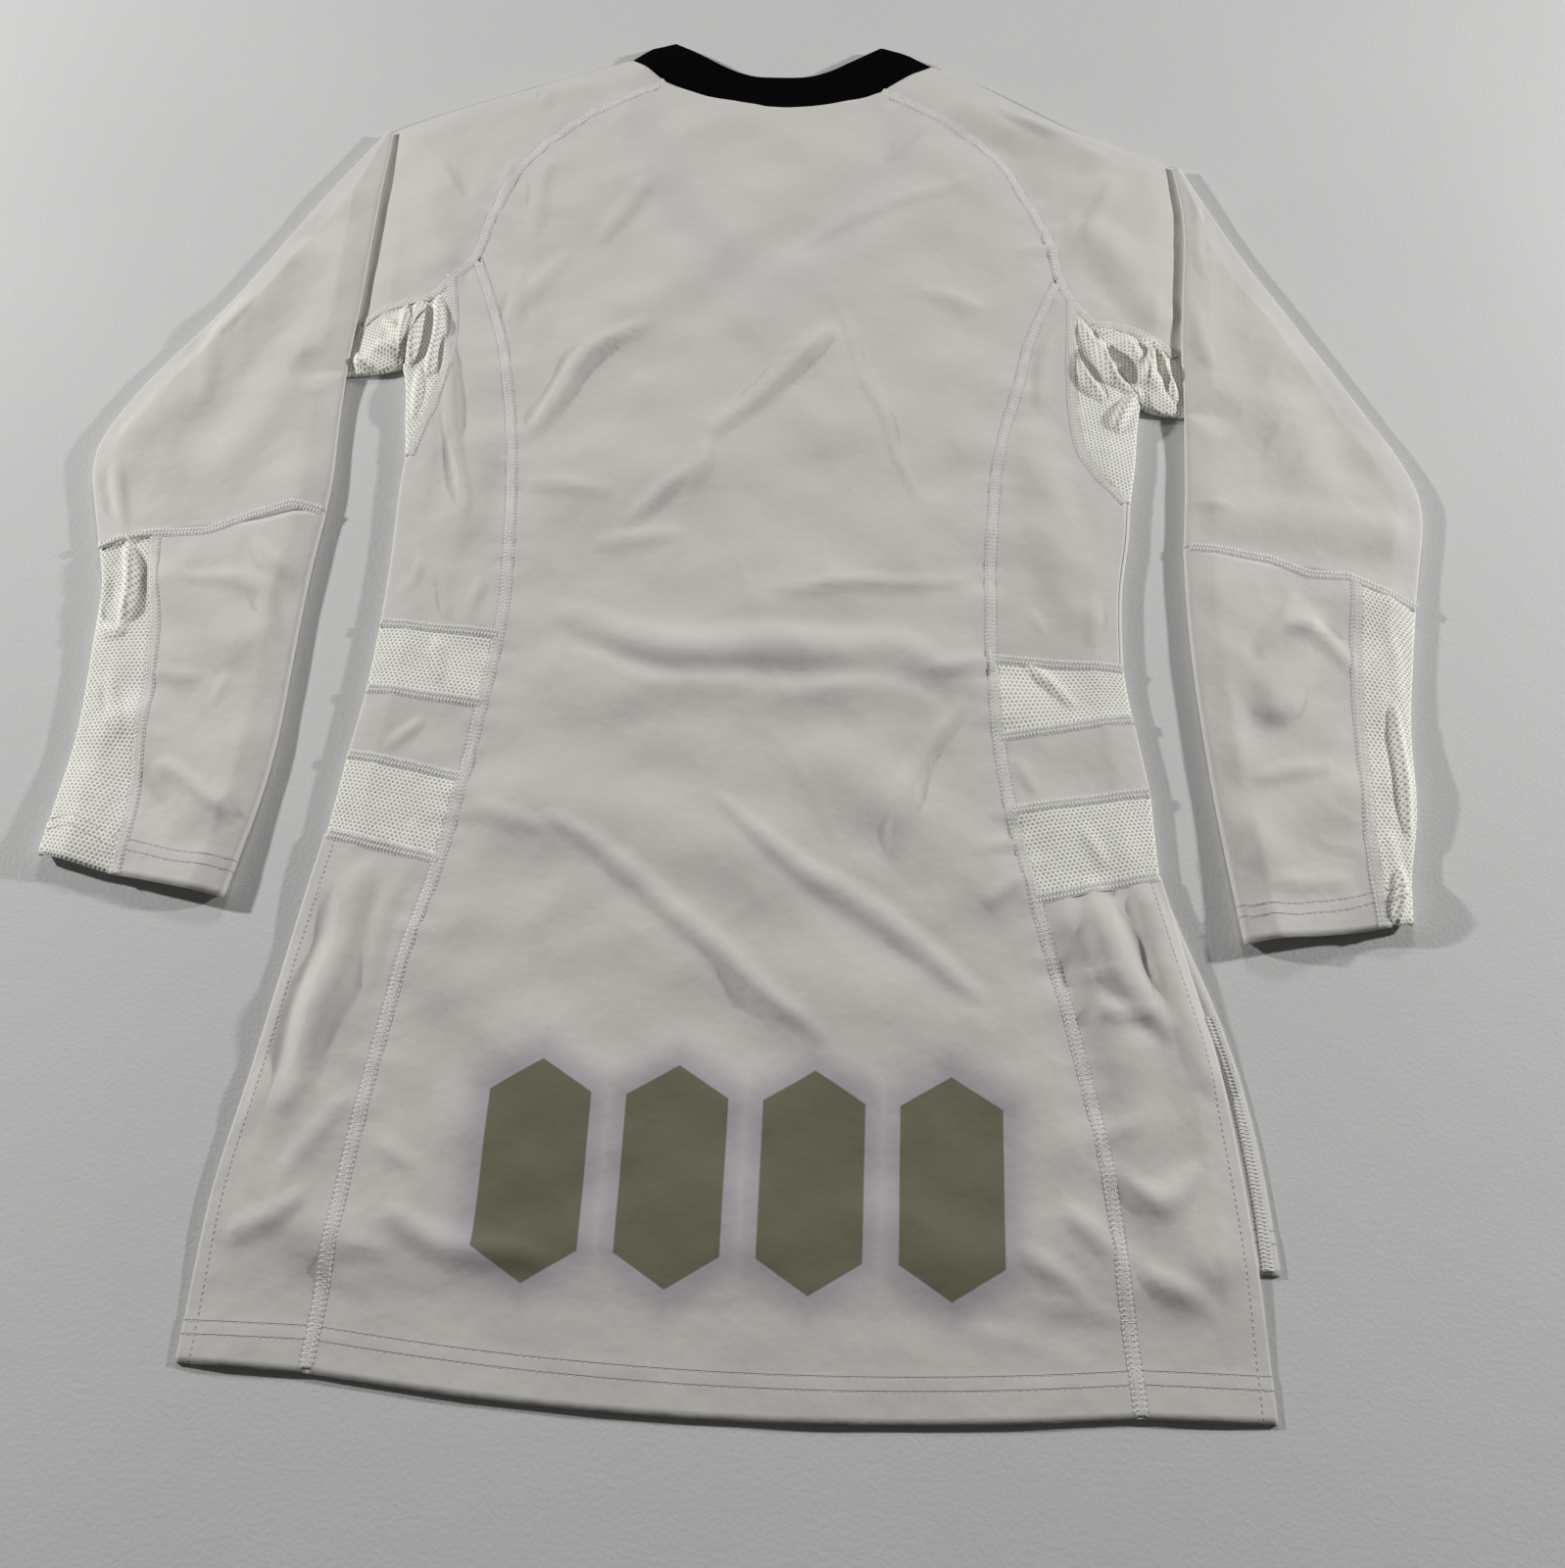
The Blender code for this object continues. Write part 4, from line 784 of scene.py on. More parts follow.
def side_upper(side):
    """Upper side panel: its back part and its front part, parted by the side seam at the edge."""
    rows = band_stretches(side)["upper"]
    gusset = spread(side["gusset"], ROWS_GUSSET)
    upper, turned, lower = [], [], []
    for k, (seam_y, edge_y) in enumerate(rows):
        start = seam_point(side, seam_y)
        if k < ROWS_GUSSET:
            upper.append(raised(straight(start, gusset[k], COLUMNS_SIDE), body_height))
            lower.append(flat(straight(start, gusset[k], COLUMNS_SIDE_LOWER)))
            continue
        fold = edge_point(side, edge_y - SEAM_GAP if k == ROWS_GUSSET else edge_y)
        section = wrap(start, fold, start, (side["out"], 0.0), body_height, COLUMNS_SIDE, COLUMNS_SIDE_LOWER)
        upper.append(section[:COLUMNS_SIDE + 1])
        turned.append(section[COLUMNS_SIDE:COLUMNS_SIDE + TURN_STEPS + 1])
        lower.append(section[:-COLUMNS_SIDE_LOWER - 2:-1])
    upper, lower = inset(upper), inset(lower)
    if side["seam_on_top"]:
        turned = inset(turned, columns=(True, False))
        turned[:, -1] = lower[ROWS_GUSSET:, -1]
        return [upper], [lower, turned]
    turned = inset(turned, columns=(False, True))
    turned[:, 0] = upper[ROWS_GUSSET:, -1]
    return [upper, turned], [lower]


def side_band(side, name):
    """One short panel of the side, which runs on round the edge to the front."""
    grid = []
    for seam_y, edge_y in band_stretches(side)[name]:
        start = seam_point(side, seam_y)
        grid.append(wrap(start, edge_point(side, edge_y), start, (side["out"], 0.0), body_height,
                         COLUMNS_SIDE, COLUMNS_SIDE_LOWER))
    return inset(grid)


def skirt_side(side, front):
    """Side panel below the bands. The slit leaves its outer edge free."""
    grid = []
    for seam_y, edge_y in band_stretches(side)["front_skirt" if front else "skirt"]:
        start = seam_point(side, seam_y)
        edge = side["front_skirt"] if front else side["edge"]
        end = np.array((x_at(edge, edge_y), edge_y))
        if front:
            grid.append(flat(straight(start, end, COLUMNS_SIDE_LOWER)))
        else:
            grid.append(raised(straight(start, end, COLUMNS_SIDE), body_height))
    return inset(grid, rows=(True, False), columns=(True, False))


def body_gusset(side):
    """Mesh gusset of the body: from the armhole and its inner seam round the side edge."""
    out = side["out"]
    starts = [side["underarm"]] + list(spread(side["gusset"], ROWS_GUSSET))
    top_y, tip_y = side["edge"][0][1], side["gusset"][-1][1] + TIP_GAP
    turns = [unit(side["corner_turn"]), unit((out, GUSSET_OUTWARD))]
    last = len(starts) - 1
    grid = []
    for k, start in enumerate(starts):
        fold = edge_point(side, float(mix(top_y, tip_y, (k / last) ** GUSSET_CROWD)))
        outward = turns[k] if k < len(turns) else (out, 0.0)
        grid.append(wrap(start, fold, start, outward, body_height, COLUMNS_GUSSET, COLUMNS_SIDE_LOWER))
    grid = cut_corner(inset(grid, rows=(True, False)), 0, 1)
    grid[-1, :COLUMNS_GUSSET] = grid[-1, COLUMNS_GUSSET]
    grid[-1, -COLUMNS_SIDE_LOWER:] = grid[-1, -COLUMNS_SIDE_LOWER - 1]
    return [grid]


def valley_x(side, y):
    """Middle of the hidden fold of the pleat, and the line of the underarm seam below it."""
    top = (side["pleat_top"] - y) / (side["pleat_top"] - side["gusset_top"][0][1])
    depth = mix(PLEAT_DEPTH_TOP, PLEAT_DEPTH_LOW, min(max(top, 0.0), 1.0))
    return x_at(side["inner"], y) + side["out"] * float(depth - VALLEY_RADIUS - HALF)


def shoulder_rows(side, front):
    """Plan of the shoulder part of the sleeve: rows from the hidden fold to the raglan seam."""
    ends = [side["collar_tip"]] + list(border(side, front)[:ROWS_RAGLAN + 1])
    ends += [side["armhole"], side["underarm"]]
    last = len(ends) - 1
    low_y = side["gusset_top"][0][1]
    first = turned_shoulder(side)
    lowest = spread(side["gusset_top"], BORDER_STEPS)
    shares = np.linspace(0.0, 1.0, BORDER_STEPS + 1)
    rows = []
    for i, end in enumerate(ends):
        y = float(mix(side["pleat_top"], low_y, i / last))
        start = np.array((valley_x(side, y), y))
        near = (x_at(side["inner"], y) - side["out"] * ARM_COVER - start[0]) / (end[0] - start[0])
        marks = [0.0] + list(np.linspace(near, 1.0, COLUMNS_SHOULDER))
        row = []
        for j, u in enumerate(marks):
            point = mix(start, end, u)
            curve = np.array([np.interp(u, shares, lowest[:, axis]) for axis in (0, 1)])
            point = point + (curve - mix(lowest[0], lowest[-1], u)) * (i / last) ** 3
            upper = first[j][0]
            bend = upper - mix(first[0][0], first[-1][0], marks_of(first)[j])
            point = point + bend * (1 - i / last) ** 3 if 0 < i else upper
            row.append(point)
        rows.append(row)
    return rows


def marks_of(first):
    """How far along the straight between the two ends each point of a row lies."""
    start, end = first[0][0], first[-1][0]
    return [float(np.dot(p[0] - start, end - start) / np.dot(end - start, end - start)) for p in first]


def turned_shoulder(side):
    """Where the cloth begins to turn over the shoulder line: plan, outward direction and height."""
    line = spread(side["shoulder"], COLUMNS_SHOULDER)
    top_y = side["pleat_top"]
    points = [(np.array((valley_x(side, top_y), top_y)), unit((side["out"], TIP_OUTWARD)), UPPER_Z)]
    for k in range(COLUMNS_SHOULDER):
        fold = line[k + 1] if k else line[0] + (line[1] - line[0]) * TIP_SHARE
        run = line[min(k + 2, COLUMNS_SHOULDER)] - line[k]
        outward = unit((side["out"] * abs(run[1]), abs(run[0])))
        if k == COLUMNS_SHOULDER - 1:
            outward = unit(side["tip_turn"])
        z = pressed_height(side, fold)
        radius = (z - HALF) / 2
        points.append((fold - outward * (radius + HALF), outward, z))
    return points


def sleeve_height(side, point, inner_z):
    """Middle of the upper layer of the sleeve."""
    outer = abs(point[0] - x_at(side["outer"], point[1]))
    inner = abs(point[0] - x_at(side["inner"], point[1]))
    lift = max(EDGE_LIFT * (1 - soft(outer / EDGE_REACH)),
               (inner_z - UPPER_Z) * (1 - soft(inner / PLEAT_REACH)))
    return UPPER_Z + lift


def sleeve_row(side, y_in, y_out, bulge):
    """Plan of one row across a sleeve: x and y from its inner to its outer edge by share u."""
    inner, outer = x_at(side["inner"], y_in), x_at(side["outer"], y_out)

    def at(x):
        u = (x - inner) / (outer - inner)
        lift = sum(weight * np.interp(u, *zip(*table)) for table, weight in bulge)
        return np.array((x, float(mix(y_in, y_out, u)) + lift))

    return inner, outer, at


def arm_section(side, y_in, y_out, bulge, inner_z, under_z):
    """One row of the upper sleeve, from the underarm line round both edges to the pleat."""
    out = side["out"]
    inner, outer, at = sleeve_row(side, y_in, y_out, bulge)
    under = valley_x(side, y_in)
    outer_turn = (TUBE_Z - HALF) / 2
    inner_turn = (inner_z - under_z) / 2
    outer_centre = at(outer - out * (outer_turn + HALF))
    inner_centre = at(inner + out * (inner_turn + HALF))
    strip = mix(inner_centre, outer_centre, side["strip_share"])
    strip = at(float(strip[0]))
    under_point = at(under)

    def height(point):
        return sleeve_height(side, point, inner_z)

    section = flat([under_point, strip, outer_centre])
    section += turn(outer_centre, (out, 0.0), HALF, TUBE_Z, TURN_STEPS)
    top = raised(straight(outer_centre, strip, COLUMNS_STRIP)
                 + straight(strip, inner_centre, COLUMNS_ARM)[1:], height)
    top[0][2] = TUBE_Z
    top[-1][2] = inner_z
    section += top
    section += turn(inner_centre, (-out, 0.0), inner_z, under_z, PLEAT_STEPS)
    section += [np.array((*inner_centre, under_z)), np.array((*under_point, under_z))]
    return section


def upper_sleeve(side):
    """Raglan sleeve to the elbow: arm part, pleat, shoulder part, and its front below them."""
    out = side["out"]
    shoulder = shoulder_rows(side, False)
    lower = shoulder_rows(side, True)
    first = turned_shoulder(side)
    last = len(shoulder) - 1
    low_y = side["gusset_top"][0][1]
    pressed = functools.partial(pressed_height, side)
    arm, pleat = [], []
    for i in range(last + 1):
        y = float(mix(side["pleat_top"], low_y, i / last))
        inner_z = float(mix(PLEAT_Z_TOP, PLEAT_Z, soft(i / PLEAT_RISE_ROWS)))
        arm.append(arm_section(side, y, y, (), inner_z, TURNED_Z))
        centre = (valley_x(side, y), y)
        row = [arm[-1][-1]] + turn(centre, (out, 0.0), TURNED_Z, UPPER_Z, PLEAT_STEPS)
        points = raised(shoulder[i], pressed)
        points[0][2] = UPPER_Z
        if i == 0:
            for point, (_, _, z) in zip(points, first):
                point[2] = z
        pleat.append(row + points)
    for y, under_z in ((low_y - CROTCH_DROP, TURNED_Z), (low_y - CROTCH_DROP - CROTCH_LENGTH, HALF)):
        inner_z = PLEAT_Z_CROTCH if under_z > HALF else UNDERARM_Z
        arm.append(arm_section(side, y, y, (), inner_z, under_z))
    start_y = low_y - CROTCH_DROP - CROTCH_LENGTH
    for k in range(1, ROWS_ARM + 1):
        y_in = float(mix(start_y, side["elbow"][0], k / ROWS_ARM))
        y_out = float(mix(start_y, side["elbow"][1], k / ROWS_ARM))
        bulge = ((side["elbow_bulge"], max(0.0, k - 1) / (ROWS_ARM - 1)),)
        arm.append(arm_section(side, y_in, y_out, bulge, TUBE_Z, HALF))
    arm = inset(arm, rows=(False, True), columns=(False, False))
    for i in range(last + 1, len(arm)):
        step = SEAM_GAP / 2 * out
        arm[i, 0, 0] += step
        arm[i, -1, 0] -= step
    pleat = inset(pleat, rows=(False, True), columns=(False, True))
    below = inset([flat(row) for row in lower], rows=(False, True), columns=(False, True))
    over = []
    for k, (centre, outward, z) in enumerate(first):
        start = pleat[0, PLEAT_STEPS + k]
        below[0, k, :2] = start[:2]
        over.append([start] + turn(start[:2], outward, z, HALF, PLEAT_STEPS) + [below[0, k]])
    over = np.array(over)
    arm[last, -1] = pleat[last, 0]
    arm[last, 0] = below[last, 0]
    return [arm, pleat, over, below]


def sleeve_gusset(side):
    """Mesh gusset of the sleeve: from the shoulder part round the underarm fold to the front."""
    tops = list(reversed(shoulder_rows(side, False)[-1]))
    folds = spread(side["crotch"], len(tops) - 1)
    pressed = functools.partial(pressed_height, side)
    grid = []
    for k, (top, fold) in enumerate(zip(tops, folds)):
        outward = unit(mix(unit(side["corner_turn"]), (0.0, -1.0), min(1.0, k / 2)))
        fold = np.array((mix(fold[0], top[0], soft(k / (len(tops) - 1))), fold[1]))
        grid.append(wrap(top, fold, top, outward, pressed, COLUMNS_GUSSET, COLUMNS_SIDE_LOWER))
    grid = cut_corner(inset(grid), 0, 1)
    return [cut_corner(grid, -1, -2)]


def forearm_rows(side):
    """Rows of the lower sleeve: its plan, the centres of both edges, the strip's seam, the valley."""
    out = side["out"]
    radius = (TUBE_Z - HALF) / 2
    rows = []
    for k in range(ROWS_FOREARM + 1):
        t = k / ROWS_FOREARM
        y_in = float(mix(side["elbow"][0], side["cuff"][0], t))
        y_out = float(mix(side["elbow"][1], side["cuff"][1], t))
        bulge = ((side["elbow_bulge"], max(0.0, 1 - k / BULGE_ROWS)),
                 (side["cuff_bulge"], max(0.0, 1 - (ROWS_FOREARM - k) / BULGE_ROWS)))
        inner, outer, at = sleeve_row(side, y_in, y_out, bulge)
        edges = (inner + out * (radius + HALF), outer - out * (radius + HALF))
        if k == 0:
            seam = at(float(mix(*edges, side["strip_share"])))
        else:
            seam = at(x_at(side["strip"], mix(y_in, y_out, STRIP_LEVEL)))
        rows.append((at(edges[0]), at(edges[1]), seam, at(valley_x(side, y_in))))
    return rows


def forearm(side, mesh):
    """Lower sleeve: the plain piece round the inner edge, or the mesh strip round the outer."""

    def height(point):
        return sleeve_height(side, point, TUBE_Z)

    grid = []
    for inner, outer, seam, valley in forearm_rows(side):
        centre = outer if mesh else inner
        direction = side["out"] if mesh else -side["out"]
        top = raised(straight(seam, centre, COLUMNS_STRIP if mesh else COLUMNS_ARM), height)
        top[-1][2] = TUBE_Z
        section = top + turn(centre, (direction, 0.0), TUBE_Z, HALF, TURN_STEPS)
        section += flat([centre, seam] if mesh else [centre, valley, seam])
        grid.append(section)
    return [inset(grid, rows=(True, False))]


def along(points, start, end):
    """Distance in plan from many points to a straight stretch, and how far along it they lie."""
    run = np.subtract(end, start)
    t = np.clip((points - start) @ run / (run @ run), 0.0, 1.0)
    return np.linalg.norm(points - start - t[:, None] * run, axis=1), t * math.hypot(*run)


def to_line(points, line):
    """Distance from many points to a line, and the length along the line to the nearest place."""
    best = np.full(len(points), np.inf)
    place = np.zeros(len(points))
    done = 0.0
    for start, end in zip(line, line[1:]):
        away, reached = along(points, start, end)
        near = away < best
        best[near] = away[near]
        place[near] = done + reached[near]
        done += math.dist(start, end)
    return best, place


def ridges(points, table):
    """Sum of the soft ridges of a table."""
    total = np.zeros(len(points))
    for x0, y0, x1, y1, half_width, height in table:
        low = (min(x0, x1) - half_width, min(y0, y1) - half_width)
        high = (max(x0, x1) + half_width, max(y0, y1) + half_width)
        near = np.all((points > low) & (points < high), axis=1)
        away, _ = along(points[near], np.array((x0, y0)), np.array((x1, y1)))
        total[near] += height * 0.5 * (1 + np.cos(math.pi * np.clip(away / half_width, 0.0, 1.0)))
    return total


def seen_at(u, v):
    """The place in the garment's plan that shows at a pixel of the photograph."""
    c, s = math.cos(CAMERA_TILT), math.sin(CAMERA_TILT)
    right = (u - PHOTO_CENTRE[0]) / FOCAL_PIXELS
    down = (v - PHOTO_CENTRE[1]) / FOCAL_PIXELS
    reach = (CAMERA_PLACE[2] - SEEN_HEIGHT) / (s + down * c)
    ahead = (c - down * s) * reach
    x = right * reach * math.cos(CAMERA_TURN) - ahead * math.sin(CAMERA_TURN)
    y = right * reach * math.sin(CAMERA_TURN) + ahead * math.cos(CAMERA_TURN)
    return CAMERA_PLACE[0] + x - FRAME_SHIFT[0], CAMERA_PLACE[1] + y - FRAME_SHIFT[1]


def wavered(points):
    """The same places moved a little to and fro, so that no crease runs dead straight."""
    x, y = points.T
    first, second, third, fourth = (share * WAVER_LENGTH for share in WAVER_SHARES)
    to_x = np.sin(y / first + WAVER_BEND * np.sin(x / second))
    to_y = np.sin(x / third + WAVER_BEND * np.sin(y / fourth))
    return points + WAVER * np.column_stack((to_x, to_y))


def creases(points, table):
    """Rise of creases that were placed in the photograph. Each narrows and fades out towards its ends."""
    total = np.zeros(len(points))
    for half_width, height, *pixels in table:
        line = smooth([seen_at(u, v) for u, v in pixels], LINE_DENSE)
        low, high = line.min(axis=0) - half_width, line.max(axis=0) + half_width
        near = np.all((points > low) & (points < high), axis=1)
        if not near.any():
            continue
        away, place = to_line(points[near], line)
        length = np.linalg.norm(np.diff(line, axis=0), axis=1).sum()
        fade = np.sin(math.pi * np.clip(place / length, 0.0, 1.0)) ** CREASE_FADE
        width = min(half_width, SLENDER * length) * (CREASE_END + (1 - CREASE_END) * fade)
        rise = height * min(1.0, length / FULL_LENGTH) * fade
        total[near] += rise * 0.5 * (1 + np.cos(math.pi * np.clip(away / width, 0.0, 1.0)))
    return total


def crumple(points):
    """Small uneven forms all over the cloth."""
    spots = [(x / CRUMPLE_SIZE, y / CRUMPLE_SIZE * CRUMPLE_SQUEEZE, 0.0) for x, y in points]
    return CRUMPLE_HEIGHT * np.array([ridged_multi_fractal(spot, *CRUMPLE_FORM) for spot in spots])


def bunched(node, points):
    """Rise of the bunched mesh under an arm or at an elbow, over a flat border."""
    side = side_of(node)
    if "gusset" in node:
        borders = [smooth(side[name], LINE_DENSE) for name in ("edge", "inner", "gusset", "gusset_top")]
    else:
        borders = [smooth(side["outer"], LINE_DENSE), strip_seam(side)]
    clear = np.min([to_line(points, line)[0] for line in borders], axis=0)
    return creases(points, BUNCHES) * soft(clear / BUNCH_REACH)


def slow_waves(points):
    """Sum of the long soft waves."""
    total = np.zeros(len(points))
    for length, angle, phase, height in WAVES:
        direction = np.array((math.cos(math.radians(angle)), math.sin(math.radians(angle))))
        total += height * (1 + np.sin(2 * math.pi * (points @ direction) / length + phase)) / 2
    return total


def puckers(away, place):
    """Short gathers beside a taped seam, uneven in length and depth."""
    phase = 2 * math.pi * place / PUCKER_LENGTH
    drift = sum(size * np.sin(phase * pace) for size, pace in PUCKER_DRIFT)
    wave = 0.5 + 0.5 * np.sin(phase + drift)
    depth = PUCKER_MEAN + (1 - PUCKER_MEAN) * np.sin(phase * PUCKER_PACE + 1.0)
    return PUCKER_HEIGHT * wave * depth * np.exp(-(away / PUCKER_REACH) ** 2)


def relief(points):
    """Rise of the upper layer over its plain form, alike for all layers that lie on each other."""
    clear = np.full(len(points), np.inf)
    seam = np.full(len(points), np.inf)
    gathers = np.zeros(len(points))
    for _, side in SIDES:
        for name in ("shoulder", "crotch", "edge", "inner", "outer"):
            clear = np.minimum(clear, to_line(points, smooth(side[name], LINE_DENSE))[0])
        for name in ("raglan", "princess"):
            away, place = to_line(points, smooth(side[name], SEAM_DENSE))
            seam = np.minimum(seam, away)
            gathers = np.maximum(gathers, puckers(away, place))
        crossing = np.linalg.norm(points - np.array(side["princess"][0]), axis=1)
        gathers *= soft(crossing / CROSSING_REACH)
    gathers *= np.maximum(soft((points[:, 1] - FRONT_HEM_Y) / CROSSING_REACH), BELOW_FRONT_HEM)
    moved = wavered(points)
    rise = ridges(moved, FOLDS) + creases(moved, CREASES) + PUFF_HEIGHT * soft(seam / PUFF_REACH)
    rise += crumple(points)
    return (rise + slow_waves(points) + gathers) * np.clip(clear / CLEAR_REACH, 0.0, 1.0)


def hem_line(x):
    """The y of the rear hem."""
    start, end = LEFT["princess"][-1][0], RIGHT["princess"][-1][0]
    u = np.clip((x - start) / (end - start), 0.0, 1.0)
    return LEFT["hem"][0] + (RIGHT["hem"][0] - LEFT["hem"][0]) * u - HEM_DIP * (1 - (2 * u - 1) ** 2)


def cuff_ends(side):
    """The x of the inner and the outer end of a cuff."""
    return x_at(side["inner"], side["cuff"][0]), x_at(side["outer"], side["cuff"][1])


def cuff_line(side, x):
    """The y of the end of a sleeve."""
    inner, outer = cuff_ends(side)
    u = np.clip((x - inner) / (outer - inner), 0.0, 1.0)
    return side["cuff"][0] + (side["cuff"][1] - side["cuff"][0]) * u + np.interp(u, *zip(*side["cuff_bulge"]))


def above_hem(node, points):
    """How far each point lies above the end of its piece, or a far value where it has no hem."""
    x, y = points.T
    if node in ("back_panel", "skirt_back_left", "skirt_back_right"):
        return y - hem_line(x)
    if node in ("front_panel", "skirt_front_left", "skirt_front_right"):
        return y - FRONT_HEM_Y
    if node.startswith("forearm"):
        return y - cuff_line(side_of(node), x)
    return np.ones(len(points))


def open_cuff(node, place, plan, weight):
    """Stand the end of a sleeve open: its upper layer rises, its lower layer draws back."""
    side = side_of(node)
    inner, outer = cuff_ends(side)
    share = (plan[:, 0] - inner) / (outer - inner)
    near = 1 - above_hem(node, plan) / CUFF_REACH
    place[:, 2] += np.interp(share, *zip(*side["cuff_rise"])) * soft(near) * weight
    back = soft(1 - above_hem(node, plan) / DRAWN_REACH) * (1 - weight)
    place[:, 1] += DRAWN_BACK * back


def hem_share(node, points):
    """How far each point lies in a turned hem, from 0 to 1."""
    depth = CUFF_DEPTH if node.startswith("forearm") else HEM_DEPTH
    return soft((depth - above_hem(node, points)) / HEM_STEP)


def object_from(name, shape):
    mesh = bpy.data.meshes.new(name)
    shape.to_mesh(mesh)
    shape.free()
    mesh.shade_smooth()
    piece = bpy.data.objects.new(name, mesh)
    bpy.context.scene.collection.objects.link(piece)
    return piece


def work_in(piece):
    """Work the piece's modifiers into its mesh."""
    graph = bpy.context.evaluated_depsgraph_get()
    done = bpy.data.meshes.new_from_object(piece.evaluated_get(graph), depsgraph=graph)
    old = piece.data
    piece.modifiers.clear()
    piece.data = done
    bpy.data.meshes.remove(old)
    done.shade_smooth()


def grid_faces(shape, layer, grid):
    """The faces of one grid, with the lengths along its rows and columns as the cut's coordinates."""
    rows, columns = grid.shape[:2]
    across = np.zeros((rows, columns))
    across[:, 1:] = np.cumsum(np.linalg.norm(np.diff(grid, axis=1), axis=2), axis=1)
    down = np.zeros((rows, columns))
    down[1:] = np.cumsum(np.linalg.norm(np.diff(grid, axis=0), axis=2), axis=0)
    down[:] = down.mean(axis=1, keepdims=True)
    points = [[shape.verts.new(grid[i, j] + FRAME_SHIFT) for j in range(columns)] for i in range(rows)]
    for i in range(rows - 1):
        for j in range(columns - 1):
            corners = ((i, j), (i, j + 1), (i + 1, j + 1), (i + 1, j))
            face = shape.faces.new([points[a][b] for a, b in corners])
            for loop, (a, b) in zip(face.loops, corners):
                loop[layer].uv = (across[a, b], down[a, b])


def places(mesh):
    values = np.empty(len(mesh.vertices) * 3)
    mesh.vertices.foreach_get("co", values)
    return values.reshape(-1, 3)


def hold_corners(shape):
    """Keep the sharp turns of a piece's outline sharp when it is subdivided."""
    layer = shape.verts.layers.float.new("crease_vert")
    for point in shape.verts:
        rim = [edge.other_vert(point).co for edge in point.link_edges if edge.is_boundary]
        if len(rim) == 2 and (rim[0] - point.co).angle(point.co - rim[1]) > SHARP_TURN:
            point[layer] = 1.0


def lay_square(shape, layer, turn):
    """Give a piece the plan's own lengths as its cut's coordinates, turned by an angle."""
    c, s = math.cos(math.radians(turn)), math.sin(math.radians(turn))
    for face in shape.faces:
        for loop in face.loops:
            x, y = loop.vert.co.xy
            loop[layer].uv = (x * c + y * s, y * c - x * s)


def cloth_piece(node, grids, material, levels=FINE):
    """One piece of cloth: its grids subdivided, folded, and given a thin wall."""
    shape = bmesh.new()
    layer = shape.loops.layers.uv.new("cut")
    for grid in grids:
        grid_faces(shape, layer, grid)
    bmesh.ops.remove_doubles(shape, verts=shape.verts, dist=WELD)
    bmesh.ops.recalc_face_normals(shape, faces=shape.faces)
    if node not in ("front_panel", "collar_band"):
        hold_corners(shape)
    if node in MESH_TURNS:
        lay_square(shape, layer, MESH_TURNS[node])
    area = sum(face.calc_area() for face in shape.faces)
    piece = object_from("cloth_" + node, shape)
    finer = piece.modifiers.new("finer", "SUBSURF")
    finer.levels = levels
    finer.render_levels = levels
    finer.boundary_smooth = "PRESERVE_CORNERS"
    work_in(piece)
    mesh = piece.data
    place = places(mesh)
    plan = place[:, :2] - FRAME_SHIFT[:2]
    weight = soft((place[:, 2] - LOWER_TOP) / (UPPER_Z - LOWER_TOP))
    if node in ("back_panel", "skirt_back_left", "skirt_back_right"):
        weight = np.maximum(soft((plan[:, 1] - FLAT_TO_Y) / (FLAT_FROM_Y - FLAT_TO_Y)), HEM_FOLD_SHARE)
    upper = weight > 0
    place[upper, 2] += relief(plan[upper]) * weight[upper]
    if "gusset" in node or node.startswith("forearm_mesh"):
        place[upper, 2] += bunched(node, plan[upper]) * weight[upper]
    if node.startswith("forearm"):
        open_cuff(node, place, plan, weight)
    mesh.vertices.foreach_set("co", place.ravel())
    group = piece.vertex_groups.new(name="thick")
    thick = np.round(hem_share(node, plan), 1)
    for share in np.unique(thick):
        factor = (CLOTH_WALL + (HEM_WALL - CLOTH_WALL) * float(share)) / HEM_WALL
        group.add(np.nonzero(thick == share)[0].tolist(), factor, "REPLACE")
    wall = piece.modifiers.new("wall", "SOLIDIFY")
    wall.thickness = HEM_WALL
    wall.offset = 0.0
    wall.use_even_offset = True
    wall.use_quality_normals = True
    wall.vertex_group = "thick"
    work_in(piece)
    piece.data.materials.clear()
    piece.data.materials.append(material)
    for name, values in marks(node, places(piece.data)[:, :2] - FRAME_SHIFT[:2]).items():
        layer = piece.data.attributes.new(name, "FLOAT", "POINT")
        layer.data.foreach_set("value", values.astype(np.float32))
    declare(piece, node)
    return piece


def marks(node, plan):
    """Lengths and shares that the materials read from each point of a piece."""
    shade = np.zeros(len(plan))
    for _, side in SIDES:
        middle = (smooth(side["arm_outer"]) + smooth(side["arm_inner"])) / 2
        away, _ = to_line(plan, middle)
        shade = np.maximum(shade, SEEN_THROUGH * soft((COLLAR_REACH - away) / COLLAR_FADE))
    slit = np.ones(len(plan))
    if node.startswith("skirt_back"):
        slit = np.abs(plan[:, 0] - np.interp(plan[:, 1], *run_down(side_of(node)["edge"])))
    return {"shade": shade, "hem": above_hem(node, plan), "slit": slit}


def declare(piece, node):
    """Attach the piece to its body and hide its solid."""
    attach(piece, "root")
    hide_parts(node)


